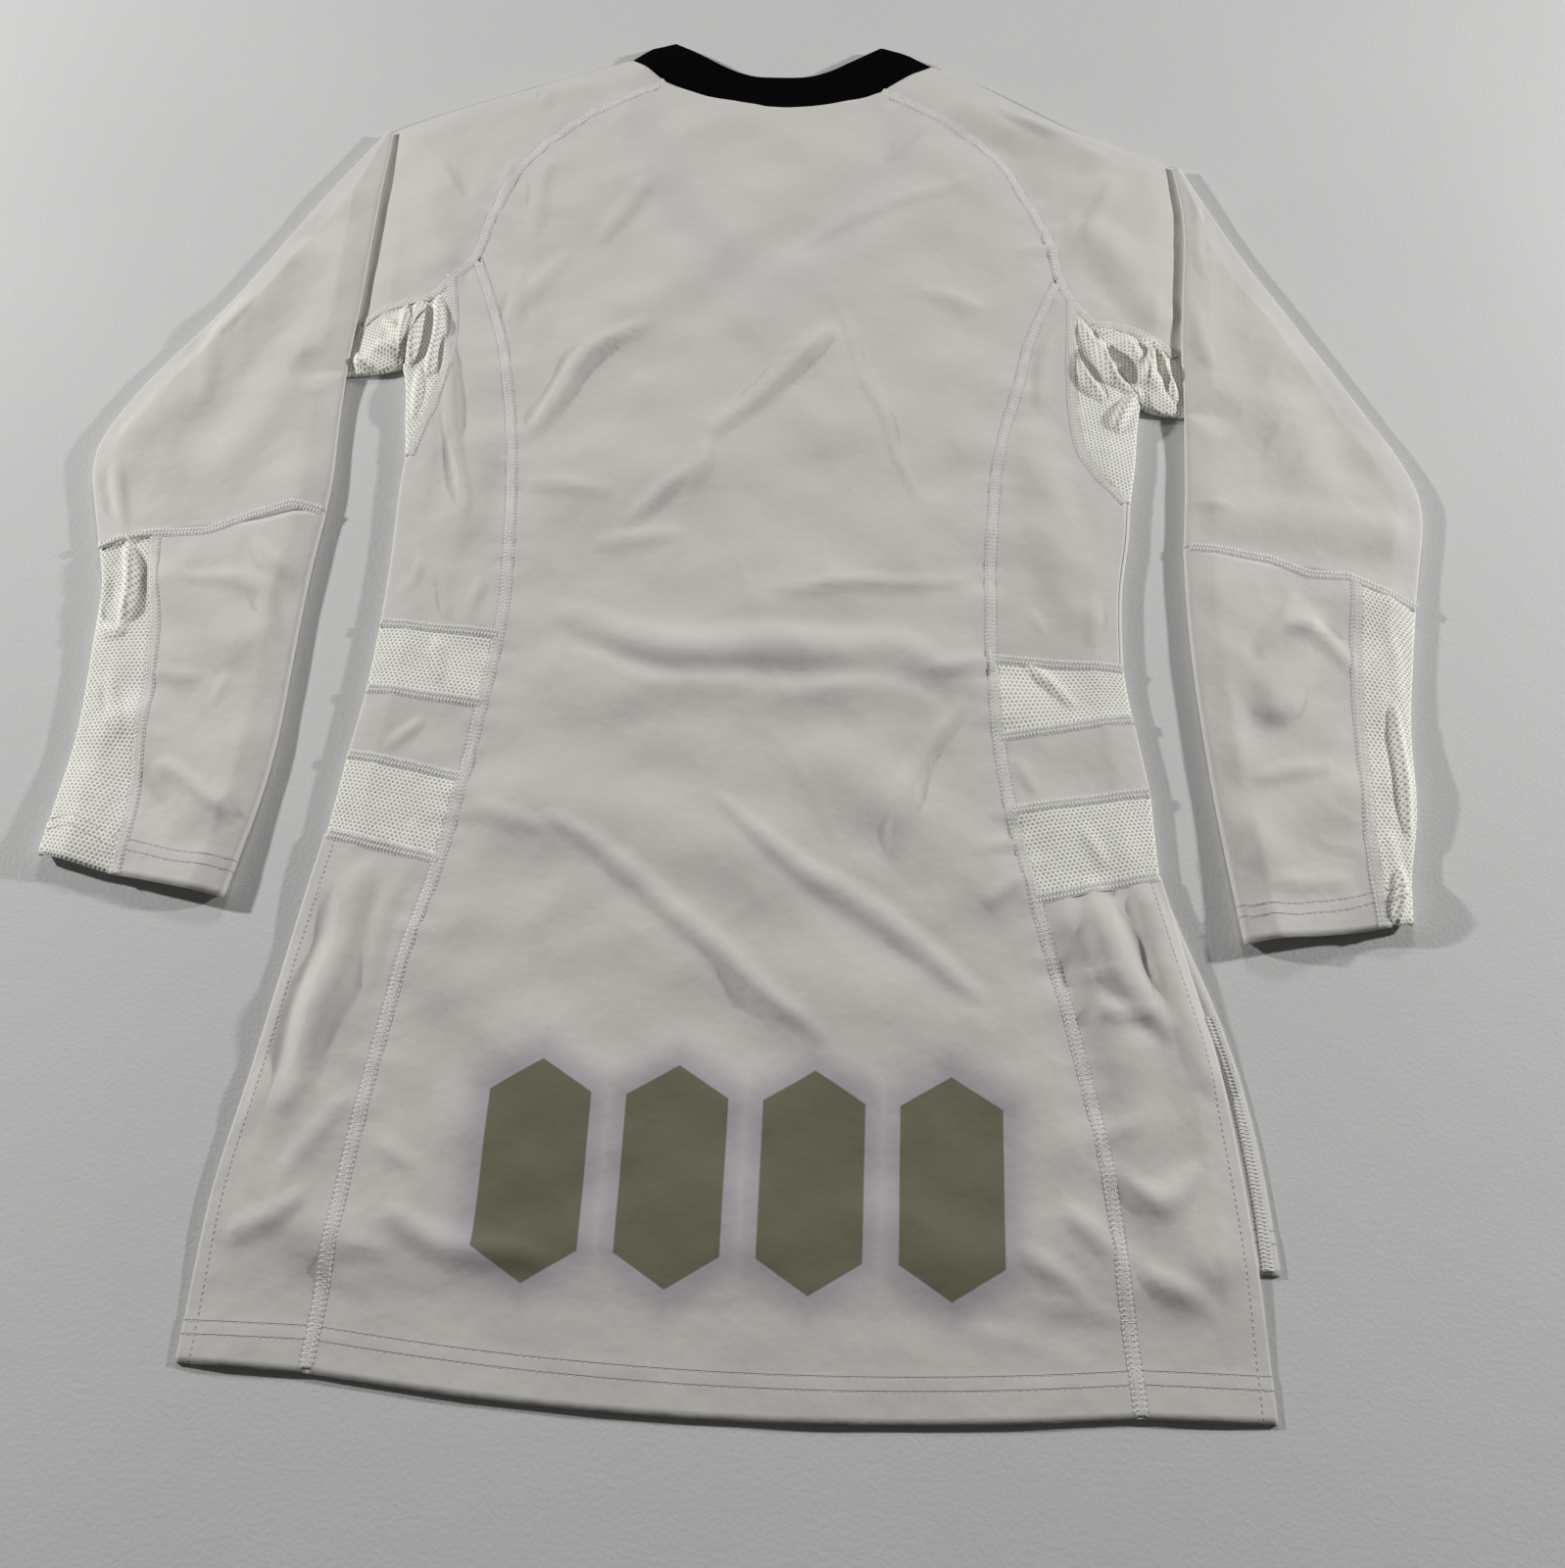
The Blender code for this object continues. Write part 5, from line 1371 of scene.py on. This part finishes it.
class Surface:
    """The finished cloth, asked for its height at a place."""

    def __init__(self, pieces):
        points, faces, count = [], [], 0
        for piece in pieces:
            mesh = piece.data
            points.append(places(mesh))
            faces += [tuple(v + count for v in face.vertices) for face in mesh.polygons]
            count += len(mesh.vertices)
        self.tree = BVHTree.FromPolygons(np.vstack(points).tolist(), faces)

    def heights(self, plan):
        found = []
        for x, y in plan:
            hit = self.tree.ray_cast(Vector((x, y, RAY_TOP)), Vector((0.0, 0.0, -1.0)))[0]
            found.append(0.0 if hit is None else hit.z)
        return np.array(found)


def lengths(line):
    """Length along a line to each of its points."""
    return np.concatenate(([0.0], np.cumsum(np.linalg.norm(np.diff(line, axis=0), axis=1))))


def paced(line, step):
    """Points at an even pace along a line, with the direction to its left at each."""
    line = np.asarray(line, dtype=float)
    length = lengths(line)
    count = max(int(round(length[-1] / step)), 2)
    marks = np.linspace(0.0, length[-1], count + 1)
    points = np.column_stack([np.interp(marks, length, line[:, axis]) for axis in (0, 1)])
    run = np.gradient(points, axis=0)
    run /= np.linalg.norm(run, axis=1, keepdims=True)
    return points, np.column_stack((-run[:, 1], run[:, 0]))


def neighbours(column):
    """A column of heights beside itself, moved by up to a few places each way."""
    padded = np.pad(column, SETTLE_STEPS, mode="edge")
    return [padded[k:k + len(column)] for k in range(2 * SETTLE_STEPS + 1)]


def settled(rows):
    """Heights along a tape, bridged over the seam gaps and smoothed."""
    rows = rows.copy()
    for column in rows.T:
        top = np.max(neighbours(column), axis=0)
        column[:] = np.where(top - column > GAP_DROP, top, column)
        column[:] = np.mean(neighbours(column), axis=0)
    return rows


def tape_rows(surface, line):
    """Rows of points across a tape that lies on the cloth. The middle of a row bridges its neighbours."""
    points, side = paced(line, TAPE_STEP)
    spots = np.array(TAPE_SPOTS) * TAPE_WIDTH
    rows = settled(np.array([surface.heights(points + side * spot) for spot in spots if spot]).T)
    middle = (rows[:, 1] + rows[:, 2]) / 2
    heights = np.column_stack((rows[:, :2], middle, rows[:, 2:]))
    plan = points[:, None, :] + side[:, None, :] * spots[None, :, None]
    return np.dstack((plan, heights))


class Parts:
    """Many small closed forms gathered into one mesh."""

    def __init__(self):
        self.points = []
        self.faces = []
        self.runs = {}

    def closed_strip(self, top, bottom, run):
        """A closed strip between two grids of the same size. Run is the length along it at each row."""
        rows, columns = top.shape[:2]
        start = len(self.points)
        for k in range(2 * rows * columns):
            share = (k % columns) / (columns - 1) - 0.5
            self.runs[start + k] = (run[k // columns % rows], share, 1.0)
        self.points += top.reshape(-1, 3).tolist() + bottom.reshape(-1, 3).tolist()
        under = rows * columns

        def at(i, j, low):
            return start + i * columns + j + (under if low else 0)

        for i in range(rows - 1):
            for j in range(columns - 1):
                self.faces.append((at(i, j, 0), at(i, j + 1, 0), at(i + 1, j + 1, 0), at(i + 1, j, 0)))
                self.faces.append((at(i, j, 1), at(i + 1, j, 1), at(i + 1, j + 1, 1), at(i, j + 1, 1)))
            self.faces.append((at(i, 0, 0), at(i + 1, 0, 0), at(i + 1, 0, 1), at(i, 0, 1)))
            last = columns - 1
            self.faces.append((at(i, last, 0), at(i, last, 1), at(i + 1, last, 1), at(i + 1, last, 0)))
        for j in range(columns - 1):
            self.faces.append((at(0, j, 0), at(0, j, 1), at(0, j + 1, 1), at(0, j + 1, 0)))
            last = rows - 1
            self.faces.append((at(last, j, 0), at(last, j + 1, 0), at(last, j + 1, 1), at(last, j, 1)))

    def stitch(self, start, end, radius):
        """One stitch: a short flat-bottomed bar, rounded over its length."""
        start, end = np.array(start, dtype=float), np.array(end, dtype=float)
        run = end - start
        side = np.array((-run[1], run[0], 0.0))
        side *= radius / max(np.linalg.norm(side), 1e-9)
        up = np.array((0.0, 0.0, radius))
        base = len(self.points)
        for t, rise in ((0.0, 0.2), (0.5, 1.0), (1.0, 0.2)):
            spot = start + run * t
            for move in (side - up, side * 0.7 + up * rise, -side * 0.7 + up * rise, -side - up):
                self.points.append((spot + move).tolist())
        for k in (0, 4):
            for j in range(4):
                a, b = base + k + j, base + k + (j + 1) % 4
                self.faces.append((a, a + 4, b + 4, b))
        self.faces.append((base, base + 1, base + 2, base + 3))
        self.faces.append((base + 11, base + 10, base + 9, base + 8))

    def piece(self, name, material, slot):
        mesh = bpy.data.meshes.new(name)
        mesh.from_pydata(self.points, [], self.faces)
        runs = np.zeros((len(self.points), 3), dtype=np.float32)
        if self.runs:
            runs[list(self.runs)] = list(self.runs.values())
        mesh.attributes.new("run", "FLOAT_VECTOR", "POINT").data.foreach_set("vector", runs.ravel())
        shape = bmesh.new()
        shape.from_mesh(mesh)
        bmesh.ops.recalc_face_normals(shape, faces=shape.faces)
        shape.to_mesh(mesh)
        shape.free()
        mesh.shade_smooth()
        mesh.materials.append(material)
        piece = bpy.data.objects.new(name, mesh)
        bpy.context.scene.collection.objects.link(piece)
        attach(piece, "root")
        return piece


def lay_tape(surface, line, tapes, threads, open_seam):
    """Flat seam along a line: its ground, and two columns of threads across it."""
    rows = tape_rows(surface, line)
    top, bottom = rows.copy(), rows.copy()
    top[:, :, 2] += TAPE_LIFT
    top[:, (0, -1), 2] -= TAPE_LIFT * TAPE_EDGE_DROP
    bottom[:, :, 2] -= TAPE_SINK
    length = lengths(rows[:, 2])
    tapes.closed_strip(top, bottom, length)
    pitch, radius = (STITCH_PITCH, THREAD) if open_seam else (FINE_PITCH, FINE_THREAD)

    def spot(distance, column):
        return [np.interp(distance, length, top[:, column, axis]) for axis in range(3)]

    for k in range(int(length[-1] / pitch)):
        near = (k + FIRST_STITCH) * pitch
        if open_seam or k % 4 < 3:
            for start, column, end in CROSS_STITCHES:
                begun = spot(near + pitch * start, column)
                threads.stitch(begun, spot(near + pitch * end, column + 2), radius)
        start, end = (near + pitch * share for share in EDGE_STITCH)
        for column in (0, 4):
            threads.stitch(spot(start, column), spot(end, column), FINE_THREAD)


def lay_stitches(surface, line, threads, length=STITCH_LENGTH, gap=STITCH_GAP):
    """A plain row of stitches along a line."""
    points, _ = paced(line, (length + gap) / 2)
    heights = settled(surface.heights(points)[:, None])[:, 0]
    rows = np.column_stack((points, heights))
    for k in range(0, len(rows) - 2, 2):
        run = rows[k + 2] - rows[k]
        threads.stitch(rows[k], rows[k] + run * length / (length + gap), HEM_THREAD)


def lay_hem(surface, ends, level, threads, count):
    """The twin rows of stitches over a hem. Level gives the hem's y at x."""
    for depth in HEM_LINES:
        row = [(x, float(level(x)) + depth) for x in np.linspace(*ends, count)]
        lay_stitches(surface, shifted(row), threads, HEM_STITCH, HEM_GAP)


def inside(side, name, away, rows):
    """A line that runs down the garment at a distance inside one of a side's lines."""
    return [(x_at(side[name], y) - side["out"] * away, y) for y in rows]


def shifted(line):
    """A line of the plan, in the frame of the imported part."""
    return np.asarray(line, dtype=float)[:, :2] + FRAME_SHIFT[:2]


def elbow_seam(side):
    inner, outer, at = sleeve_row(side, *side["elbow"], ((side["elbow_bulge"], 1.0),))
    start, end = inner + side["out"] * INNER_MARGIN, outer - side["out"] * OUTER_MARGIN
    return [at(x) for x in np.linspace(start, end, SEAM_POINTS)]


def led_in(line, length):
    """A line with a straight lead before its start."""
    start, second = np.array(line[0][:2]), np.array(line[1][:2])
    run = (start - second) / np.linalg.norm(start - second)
    return [start + run * length] + [np.array(p[:2]) for p in line]


def strip_seam(side):
    """Seam between the plain and the mesh part of the lower sleeve."""
    return smooth([seam for _, _, seam, _ in forearm_rows(side)])


def clear_of_arm(side, line):
    """The part of a line that the arm of the sleeve doesn't cover."""
    return [p for p in line if side["out"] * (x_at(side["inner"], p[1]) - p[0]) > ARM_MARGIN]


def seam_paths(side):
    """All flat seams of one side that show from above, and whether their threads lie open."""
    out = side["out"]
    paths = [(smooth(side["raglan"] + (side["armhole"], side["underarm"])), False),
             (smooth(side["princess"]), False), (elbow_seam(side), True), (strip_seam(side), False),
             (led_in(smooth(side["gusset"]), LEAD_IN), False),
             (clear_of_arm(side, smooth(side["gusset_top"])[::-1]), False)]
    for _, seam_y, edge_y in side["bands"]:
        start, end = seam_point(side, seam_y), edge_point(side, edge_y)
        paths.append((straight(start, end - np.array((out * SEAM_END, 0.0)), BAND_POINTS), True))
    return paths


def feed(tree, value, socket):
    """Link a value to an input where it is a socket, and set the input to it otherwise."""
    if isinstance(value, bpy.types.NodeSocket):
        tree.links.new(value, socket)
    else:
        socket.default_value = value


def add(tree, kind, settings=(), values=(), **inputs):
    """A node with its settings. Its inputs are numbers or sockets, by order and by name."""
    node = tree.nodes.new(kind)
    for key, value in dict(settings).items():
        setattr(node, key, value)
    for value, socket in zip(values, node.inputs):
        feed(tree, value, socket)
    for name, value in inputs.items():
        feed(tree, value, node.inputs[name])
    return node


def maths(tree, operation, *values):
    return add(tree, "ShaderNodeMath", {"operation": operation}, values).outputs[0]


def noted(tree, name, output="Fac"):
    """What the cloth's points carry under a name."""
    return add(tree, "ShaderNodeAttribute", {"attribute_name": name}).outputs[output]


def parted(tree, vector):
    """The three numbers of a vector."""
    return add(tree, "ShaderNodeSeparateXYZ", Vector=vector).outputs


def blend_colour(tree, share, first, second):
    """Mix two colours, each a socket or plain values."""
    node = tree.nodes.new("ShaderNodeMix")
    node.data_type = "RGBA"
    colours = [socket for socket in node.inputs if socket.type == "RGBA"]
    for socket, value in zip(colours, (first, second)):
        feed(tree, value if isinstance(value, bpy.types.NodeSocket) else (*value, 1.0), socket)
    feed(tree, share, node.inputs[0])
    return next(socket for socket in node.outputs if socket.type == "RGBA")


def mottled(tree, place, scale, detail, colour, darker):
    """A colour that turns a little darker in soft patches."""
    tone = map_range(tree, noise(tree, place, scale, detail), 0.3, 0.7)
    return blend_colour(tree, tone, colour, tuple(c * darker for c in colour))


def map_range(tree, value, low, high, to_low=0.0, to_high=1.0):
    """A value's share of the way from low to high, with soft ends."""
    return add(tree, "ShaderNodeMapRange", {"interpolation_type": "SMOOTHSTEP"},
               (value, low, high, to_low, to_high)).outputs[0]


def noise(tree, vector, scale, detail=2.0):
    return add(tree, "ShaderNodeTexNoise", Vector=vector, Scale=scale, Detail=detail).outputs[0]


def bump(tree, height, distance, strength=1.0, normal=None):
    """A normal bent by a height, over another bent normal where one is given."""
    inputs = {"Height": height, "Distance": distance, "Strength": strength}
    if normal is not None:
        inputs["Normal"] = normal
    return add(tree, "ShaderNodeBump", **inputs).outputs[0]


def new_material(name, roughness, sheen=0.0):
    material = bpy.data.materials.new(name)
    material.use_nodes = True
    tree = material.node_tree
    shader = tree.nodes["Principled BSDF"]
    shader.inputs["Roughness"].default_value = roughness
    shader.inputs["Sheen Weight"].default_value = sheen
    shader.inputs["Sheen Roughness"].default_value = SHEEN_ROUGHNESS
    shader.inputs["Specular IOR Level"].default_value = SPECULAR
    place = tree.nodes.new("ShaderNodeTexCoord").outputs["Object"]
    return material, tree, shader, place


def knit_normal(tree, place):
    """Fine grain of the knit, with a slight crepe."""
    grain = noise(tree, place, 1500.0, 1.0)
    crepe = noise(tree, place, 240.0, 3.0)
    crinkle = noise(tree, place, 34.0, 3.0)
    soft_crinkle = bump(tree, crinkle, 0.0030, 0.55)
    return bump(tree, grain, 0.00010, 0.5, bump(tree, crepe, 0.00022, 0.5, soft_crinkle))


def hexagon_distance(tree, place):
    """Distance, outside positive, to the nearest of a row of long hexagons."""
    x, y, _ = parted(tree, place)
    cell = maths(tree, "FLOOR", maths(tree, "DIVIDE", maths(tree, "SUBTRACT", x, PRINT_LEFT), PRINT_PITCH))
    cell = maths(tree, "MINIMUM", maths(tree, "MAXIMUM", cell, 0.0), PRINT_COUNT - 1.0)
    middle = maths(tree, "MULTIPLY_ADD", cell, PRINT_PITCH, PRINT_LEFT + PRINT_PITCH / 2)
    across = maths(tree, "ABSOLUTE", maths(tree, "SUBTRACT", x, middle))
    up = maths(tree, "ABSOLUTE", maths(tree, "SUBTRACT", y, PRINT_MIDDLE_Y))
    slope = math.hypot(1.0, PRINT_POINT_SLOPE)
    tip = maths(tree, "MULTIPLY_ADD", across, PRINT_POINT_SLOPE, up)
    tip = maths(tree, "DIVIDE", maths(tree, "SUBTRACT", tip, PRINT_HALF_HEIGHT), slope)
    return maths(tree, "MAXIMUM", maths(tree, "SUBTRACT", across, PRINT_HALF_WIDTH), tip)


def grooves(tree, place):
    """Lines of the grooves that the rows of stitches press into hems and along the slits, where the materials
    paint shade.
    """
    along_axis = parted(tree, place)
    hem, slit = noted(tree, "hem"), noted(tree, "slit")
    total = None
    for value, depth in [(hem, depth) for depth in HEM_LINES] + [(slit, SLIT_STITCH)]:
        away = maths(tree, "ABSOLUTE", maths(tree, "SUBTRACT", value, depth))
        line = map_range(tree, away, GROOVE_WIDTH * 1.6, GROOVE_WIDTH * 0.5)
        if value is slit:
            pace = 2 * math.pi / (STITCH_LENGTH + STITCH_GAP)
            beat = maths(tree, "SINE", maths(tree, "MULTIPLY", along_axis[1], pace))
            line = maths(tree, "MULTIPLY", line, map_range(tree, beat, -0.3, 0.3))
        total = line if total is None else maths(tree, "MAXIMUM", total, line)
    return total


def cloth_material(name, printed=False):
    """Plain knit with the collar's shade, the hems' grooves with painted shade in them, and the printed row
    on the back.
    """
    material, tree, shader, place = new_material(name, 0.78, 0.15)
    colour = mottled(tree, place, 9.0, 3.0, CLOTH, 0.965)
    colour = blend_colour(tree, noted(tree, "shade"), colour, SHADE_BLUE)
    if printed:
        gap = hexagon_distance(tree, place)
        halo = map_range(tree, gap, PRINT_HALO, 0.0, 0.0, 0.75)
        colour = blend_colour(tree, halo, colour, VIOLET)
        ink = maths(tree, "MULTIPLY", map_range(tree, gap, 0.0004, -0.0004), 0.96)
        colour = blend_colour(tree, ink, colour, OLIVE)
    # The grooves are dented by a bump and darkened with painted shade
    groove_dent_and_shade = grooves(tree, place)
    colour = blend_colour(tree, maths(tree, "MULTIPLY", groove_dent_and_shade, 0.75), colour, GROOVE_SHADE)
    tree.links.new(colour, shader.inputs["Base Color"])
    pressed = bump(tree, maths(tree, "SUBTRACT", 1.0, groove_dent_and_shade), 0.0004, 0.8, knit_normal(tree, place))
    tree.links.new(pressed, shader.inputs["Normal"])
    return material


def mesh_material(name):
    """Sports mesh: staggered rows of small holes in a soft knit. The holes are painted dark, as the shade
    seen through them.
    """
    material, tree, shader, place = new_material(name, 0.75, 0.2)
    cut = parted(tree, add(tree, "ShaderNodeUVMap", {"uv_map": "cut"}).outputs[0])
    down = maths(tree, "DIVIDE", cut[1], HOLE_ROW)
    odd = maths(tree, "MULTIPLY", maths(tree, "MODULO", maths(tree, "FLOOR", down), 2.0), 0.5)
    across = maths(tree, "ADD", maths(tree, "DIVIDE", cut[0], HOLE_PITCH), odd)
    side = maths(tree, "MULTIPLY", maths(tree, "SUBTRACT", maths(tree, "FRACT", across), 0.5), HOLE_PITCH)
    up = maths(tree, "MULTIPLY", maths(tree, "SUBTRACT", maths(tree, "FRACT", down), 0.5), HOLE_ROW)
    away = maths(tree, "SQRT", maths(tree, "ADD", maths(tree, "MULTIPLY", side, side),
                                     maths(tree, "MULTIPLY", up, up)))
    # Painted shade in each hole
    hole_shade = map_range(tree, away, HOLE_RADIUS * 1.2, HOLE_RADIUS * 0.75)
    colour = blend_colour(tree, hole_shade, mottled(tree, place, 60.0, 2.0, MESH, 0.95), HOLE_SHADE)
    # Painted shade in the stitch grooves
    colour = blend_colour(tree, maths(tree, "MULTIPLY", grooves(tree, place), 0.6), colour, GROOVE_SHADE)
    tree.links.new(colour, shader.inputs["Base Color"])
    rounded = map_range(tree, away, HOLE_RADIUS * 0.5, HOLE_RADIUS * 2.1)
    tree.links.new(bump(tree, rounded, 0.0003, 0.9, knit_normal(tree, place)), shader.inputs["Normal"])
    return material


def tape_material():
    """Pale flat tape, with painted shade in two columns of slots between its cross threads, along its middle
    and along its edges.
    """
    material, tree, shader, place = new_material("flat_tape", 0.7, 0.2)
    run = parted(tree, noted(tree, "run", "Vector"))
    across = maths(tree, "ABSOLUTE", run[1])
    # Painted shade: dark slots between the cross threads, and dark lines along the edges and the middle
    beat = maths(tree, "SINE", maths(tree, "MULTIPLY", run[0], 2 * math.pi / SLOT_PITCH))
    column = map_range(tree, maths(tree, "ABSOLUTE", maths(tree, "SUBTRACT", across, 0.22)), 0.13, 0.06)
    slot_shade = maths(tree, "MULTIPLY", map_range(tree, beat, 0.0, 0.7), column)
    edge = map_range(tree, across, 0.40, 0.48, 0.0, 0.55)
    middle = map_range(tree, across, 0.07, 0.02, 0.0, 0.35)
    dark = maths(tree, "MAXIMUM", maths(tree, "MAXIMUM", edge, middle), maths(tree, "MULTIPLY", slot_shade, 0.62))
    uneven = map_range(tree, noise(tree, place, 90.0, 2.0), 0.3, 0.7, 0.55, 1.0)
    dark = maths(tree, "MULTIPLY", dark, uneven)
    tree.links.new(blend_colour(tree, dark, TAPE, TAPE_SHADE), shader.inputs["Base Color"])
    tree.links.new(bump(tree, noise(tree, place, 1800.0, 1.0), 0.0001, 0.6), shader.inputs["Normal"])
    return material


def thread_material():
    material, tree, shader, place = new_material("sewing_thread", 0.6, 0.1)
    tree.links.new(mottled(tree, place, 900.0, 1.0, THREAD_COLOUR, 0.9), shader.inputs["Base Color"])
    return material


def collar_material():
    """Black twill band: fine slanting ribs over a dull ground."""
    material, tree, shader, place = new_material("black_band", 0.9)
    shader.inputs["Specular IOR Level"].default_value = COLLAR_SPECULAR
    cut = parted(tree, add(tree, "ShaderNodeUVMap", {"uv_map": "cut"}).outputs[0])
    slant = maths(tree, "MULTIPLY_ADD", cut[0], RIB_SLANT, cut[1])
    rib = maths(tree, "SINE", maths(tree, "MULTIPLY", slant, 2 * math.pi / RIB_PITCH))
    dust = map_range(tree, noise(tree, place, 700.0, 3.0), 0.55, 0.8)
    tree.links.new(blend_colour(tree, dust, COLLAR, COLLAR_DUST), shader.inputs["Base Color"])
    tree.links.new(bump(tree, rib, 0.00015, 0.5, bump(tree, noise(tree, place, 150.0, 2.0), 0.0004, 0.5)),
                   shader.inputs["Normal"])
    return material


def floor_material():
    material, tree, shader, place = new_material("pale_table", 0.9)
    tree.links.new(mottled(tree, place, 5.0, 4.0, FLOOR, 0.975), shader.inputs["Base Color"])
    fibre = bump(tree, noise(tree, place, 420.0, 3.0), 0.0004, 0.6)
    tree.links.new(bump(tree, noise(tree, place, 30.0, 4.0), 0.0005, 0.5, fibre), shader.inputs["Normal"])
    return material


def area_light(name, place, aim, size, power):
    light = bpy.data.lights.new(name, "AREA")
    light.shape = "DISK"
    light.size = size
    light.energy = power
    holder = bpy.data.objects.new(name, light)
    holder.location = place
    holder.rotation_euler = (Vector(aim) - Vector(place)).to_track_quat("-Z", "Y").to_euler()
    bpy.context.scene.collection.objects.link(holder)


def studio():
    """Pale table, two low side lights, a wide soft light above, and the camera."""
    shape = bmesh.new()
    bmesh.ops.create_grid(shape, x_segments=1, y_segments=1, size=FLOOR_SIZE)
    floor = object_from("floor", shape)
    floor.location.z = FLOOR_Z
    floor.data.materials.append(floor_material())
    for name, place, size, power in LIGHTS:
        area_light(name, place, LIGHT_AIM, size, power)
    world = bpy.data.worlds.new("studio")
    world.use_nodes = True
    world.node_tree.nodes["Background"].inputs["Color"].default_value = (1.0, 1.0, 1.0, 1.0)
    world.node_tree.nodes["Background"].inputs["Strength"].default_value = WORLD_STRENGTH
    bpy.context.scene.world = world
    bpy.context.scene.view_settings.view_transform = "Standard"
    lens = bpy.data.cameras.new("camera")
    lens.sensor_width = SENSOR
    lens.lens = FOCAL_PIXELS * SENSOR / PHOTO_HEIGHT
    camera = bpy.data.objects.new("camera", lens)
    c, s = math.cos(CAMERA_TILT), math.sin(CAMERA_TILT)
    cos_turn, sin_turn = math.cos(CAMERA_TURN), math.sin(CAMERA_TURN)
    right = Vector((cos_turn, sin_turn, 0.0))
    up = Vector((-s * sin_turn, s * cos_turn, c))
    back = right.cross(up)
    camera.matrix_world = Matrix.Translation(CAMERA_PLACE) @ Matrix((right, up, back)).transposed().to_4x4()
    bpy.context.scene.collection.objects.link(camera)
    bpy.context.scene.camera = camera


def cloth_pieces():
    plain = cloth_material("plain_cloth")
    printed = cloth_material("printed_cloth", printed=True)
    mesh = mesh_material("sports_mesh")
    collar_band = cloth_piece("collar_band", [collar()], collar_material())
    back = cloth_piece("back_panel", [panel(False)], printed)
    front = cloth_piece("front_panel", [panel(True)], plain, COARSE)
    pieces = [collar_band, back, front]
    for name, side in SIDES:
        side_back, side_front = side_upper(side)
        for node, grids, material in (
                ("side_back_", side_back, plain), ("side_front_", side_front, plain),
                ("band_mesh_upper_", [side_band(side, "b")], mesh),
                ("band_plain_", [side_band(side, "c")], plain),
                ("band_mesh_lower_", [side_band(side, "d")], mesh),
                ("skirt_back_", [skirt_side(side, False)], plain),
                ("skirt_front_", [skirt_side(side, True)], plain),
                ("body_gusset_", body_gusset(side), mesh),
                ("sleeve_gusset_", sleeve_gusset(side), mesh),
                ("upper_sleeve_", upper_sleeve(side), plain),
                ("forearm_", forearm(side, False), plain),
                ("forearm_mesh_", forearm(side, True), mesh)):
            pieces.append(cloth_piece(node + name, grids, material))
    return pieces


def sewing(surface):
    """Tape and stitches of each side, and of the hems."""
    tape, thread = tape_material(), thread_material()
    for name, side in SIDES:
        tapes, threads = Parts(), Parts()
        for line, open_seam in seam_paths(side):
            lay_tape(surface, shifted(line), tapes, threads, open_seam)
        rows = np.linspace(side["bands"][-1][2] - SLIT_START, side["hem"][1] + HEM_END, SLIT_POINTS)
        lay_stitches(surface, shifted(inside(side, "edge", SLIT_STITCH, rows)), threads)
        rows = np.linspace(OVERLOCK_TOP, FRONT_HEM_Y + OVERLOCK_END, OVERLOCK_POINTS)
        bare = inside(side, "front_skirt", OVERLOCK_IN, rows)
        if side["out"] * (bare[0][0] - x_at(side["edge"], OVERLOCK_TOP)) > 0:
            lay_tape(surface, shifted(bare), tapes, threads, True)
        inner, outer = cuff_ends(side)
        ends = inner + side["out"] * HEM_END, outer - side["out"] * HEM_END
        lay_hem(surface, ends, functools.partial(cuff_line, side), threads, SEAM_POINTS)
        tapes.piece("tape_" + name, tape, "cloth")
        threads.piece("threads_" + name, thread, "cloth")
    threads = Parts()
    ends = [x_at(side["edge"], side["hem"][1]) - side["out"] * HEM_END for _, side in SIDES]
    lay_hem(surface, ends, hem_line, threads, HEM_POINTS)
    threads.piece("threads_hem", thread, "cloth")


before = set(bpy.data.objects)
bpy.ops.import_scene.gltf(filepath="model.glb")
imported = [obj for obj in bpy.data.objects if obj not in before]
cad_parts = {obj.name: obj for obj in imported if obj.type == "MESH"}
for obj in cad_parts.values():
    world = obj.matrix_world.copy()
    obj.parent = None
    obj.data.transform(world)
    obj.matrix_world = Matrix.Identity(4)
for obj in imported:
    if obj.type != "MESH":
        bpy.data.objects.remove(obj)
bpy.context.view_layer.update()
studio()
made = cloth_pieces()
sewing(Surface(made))
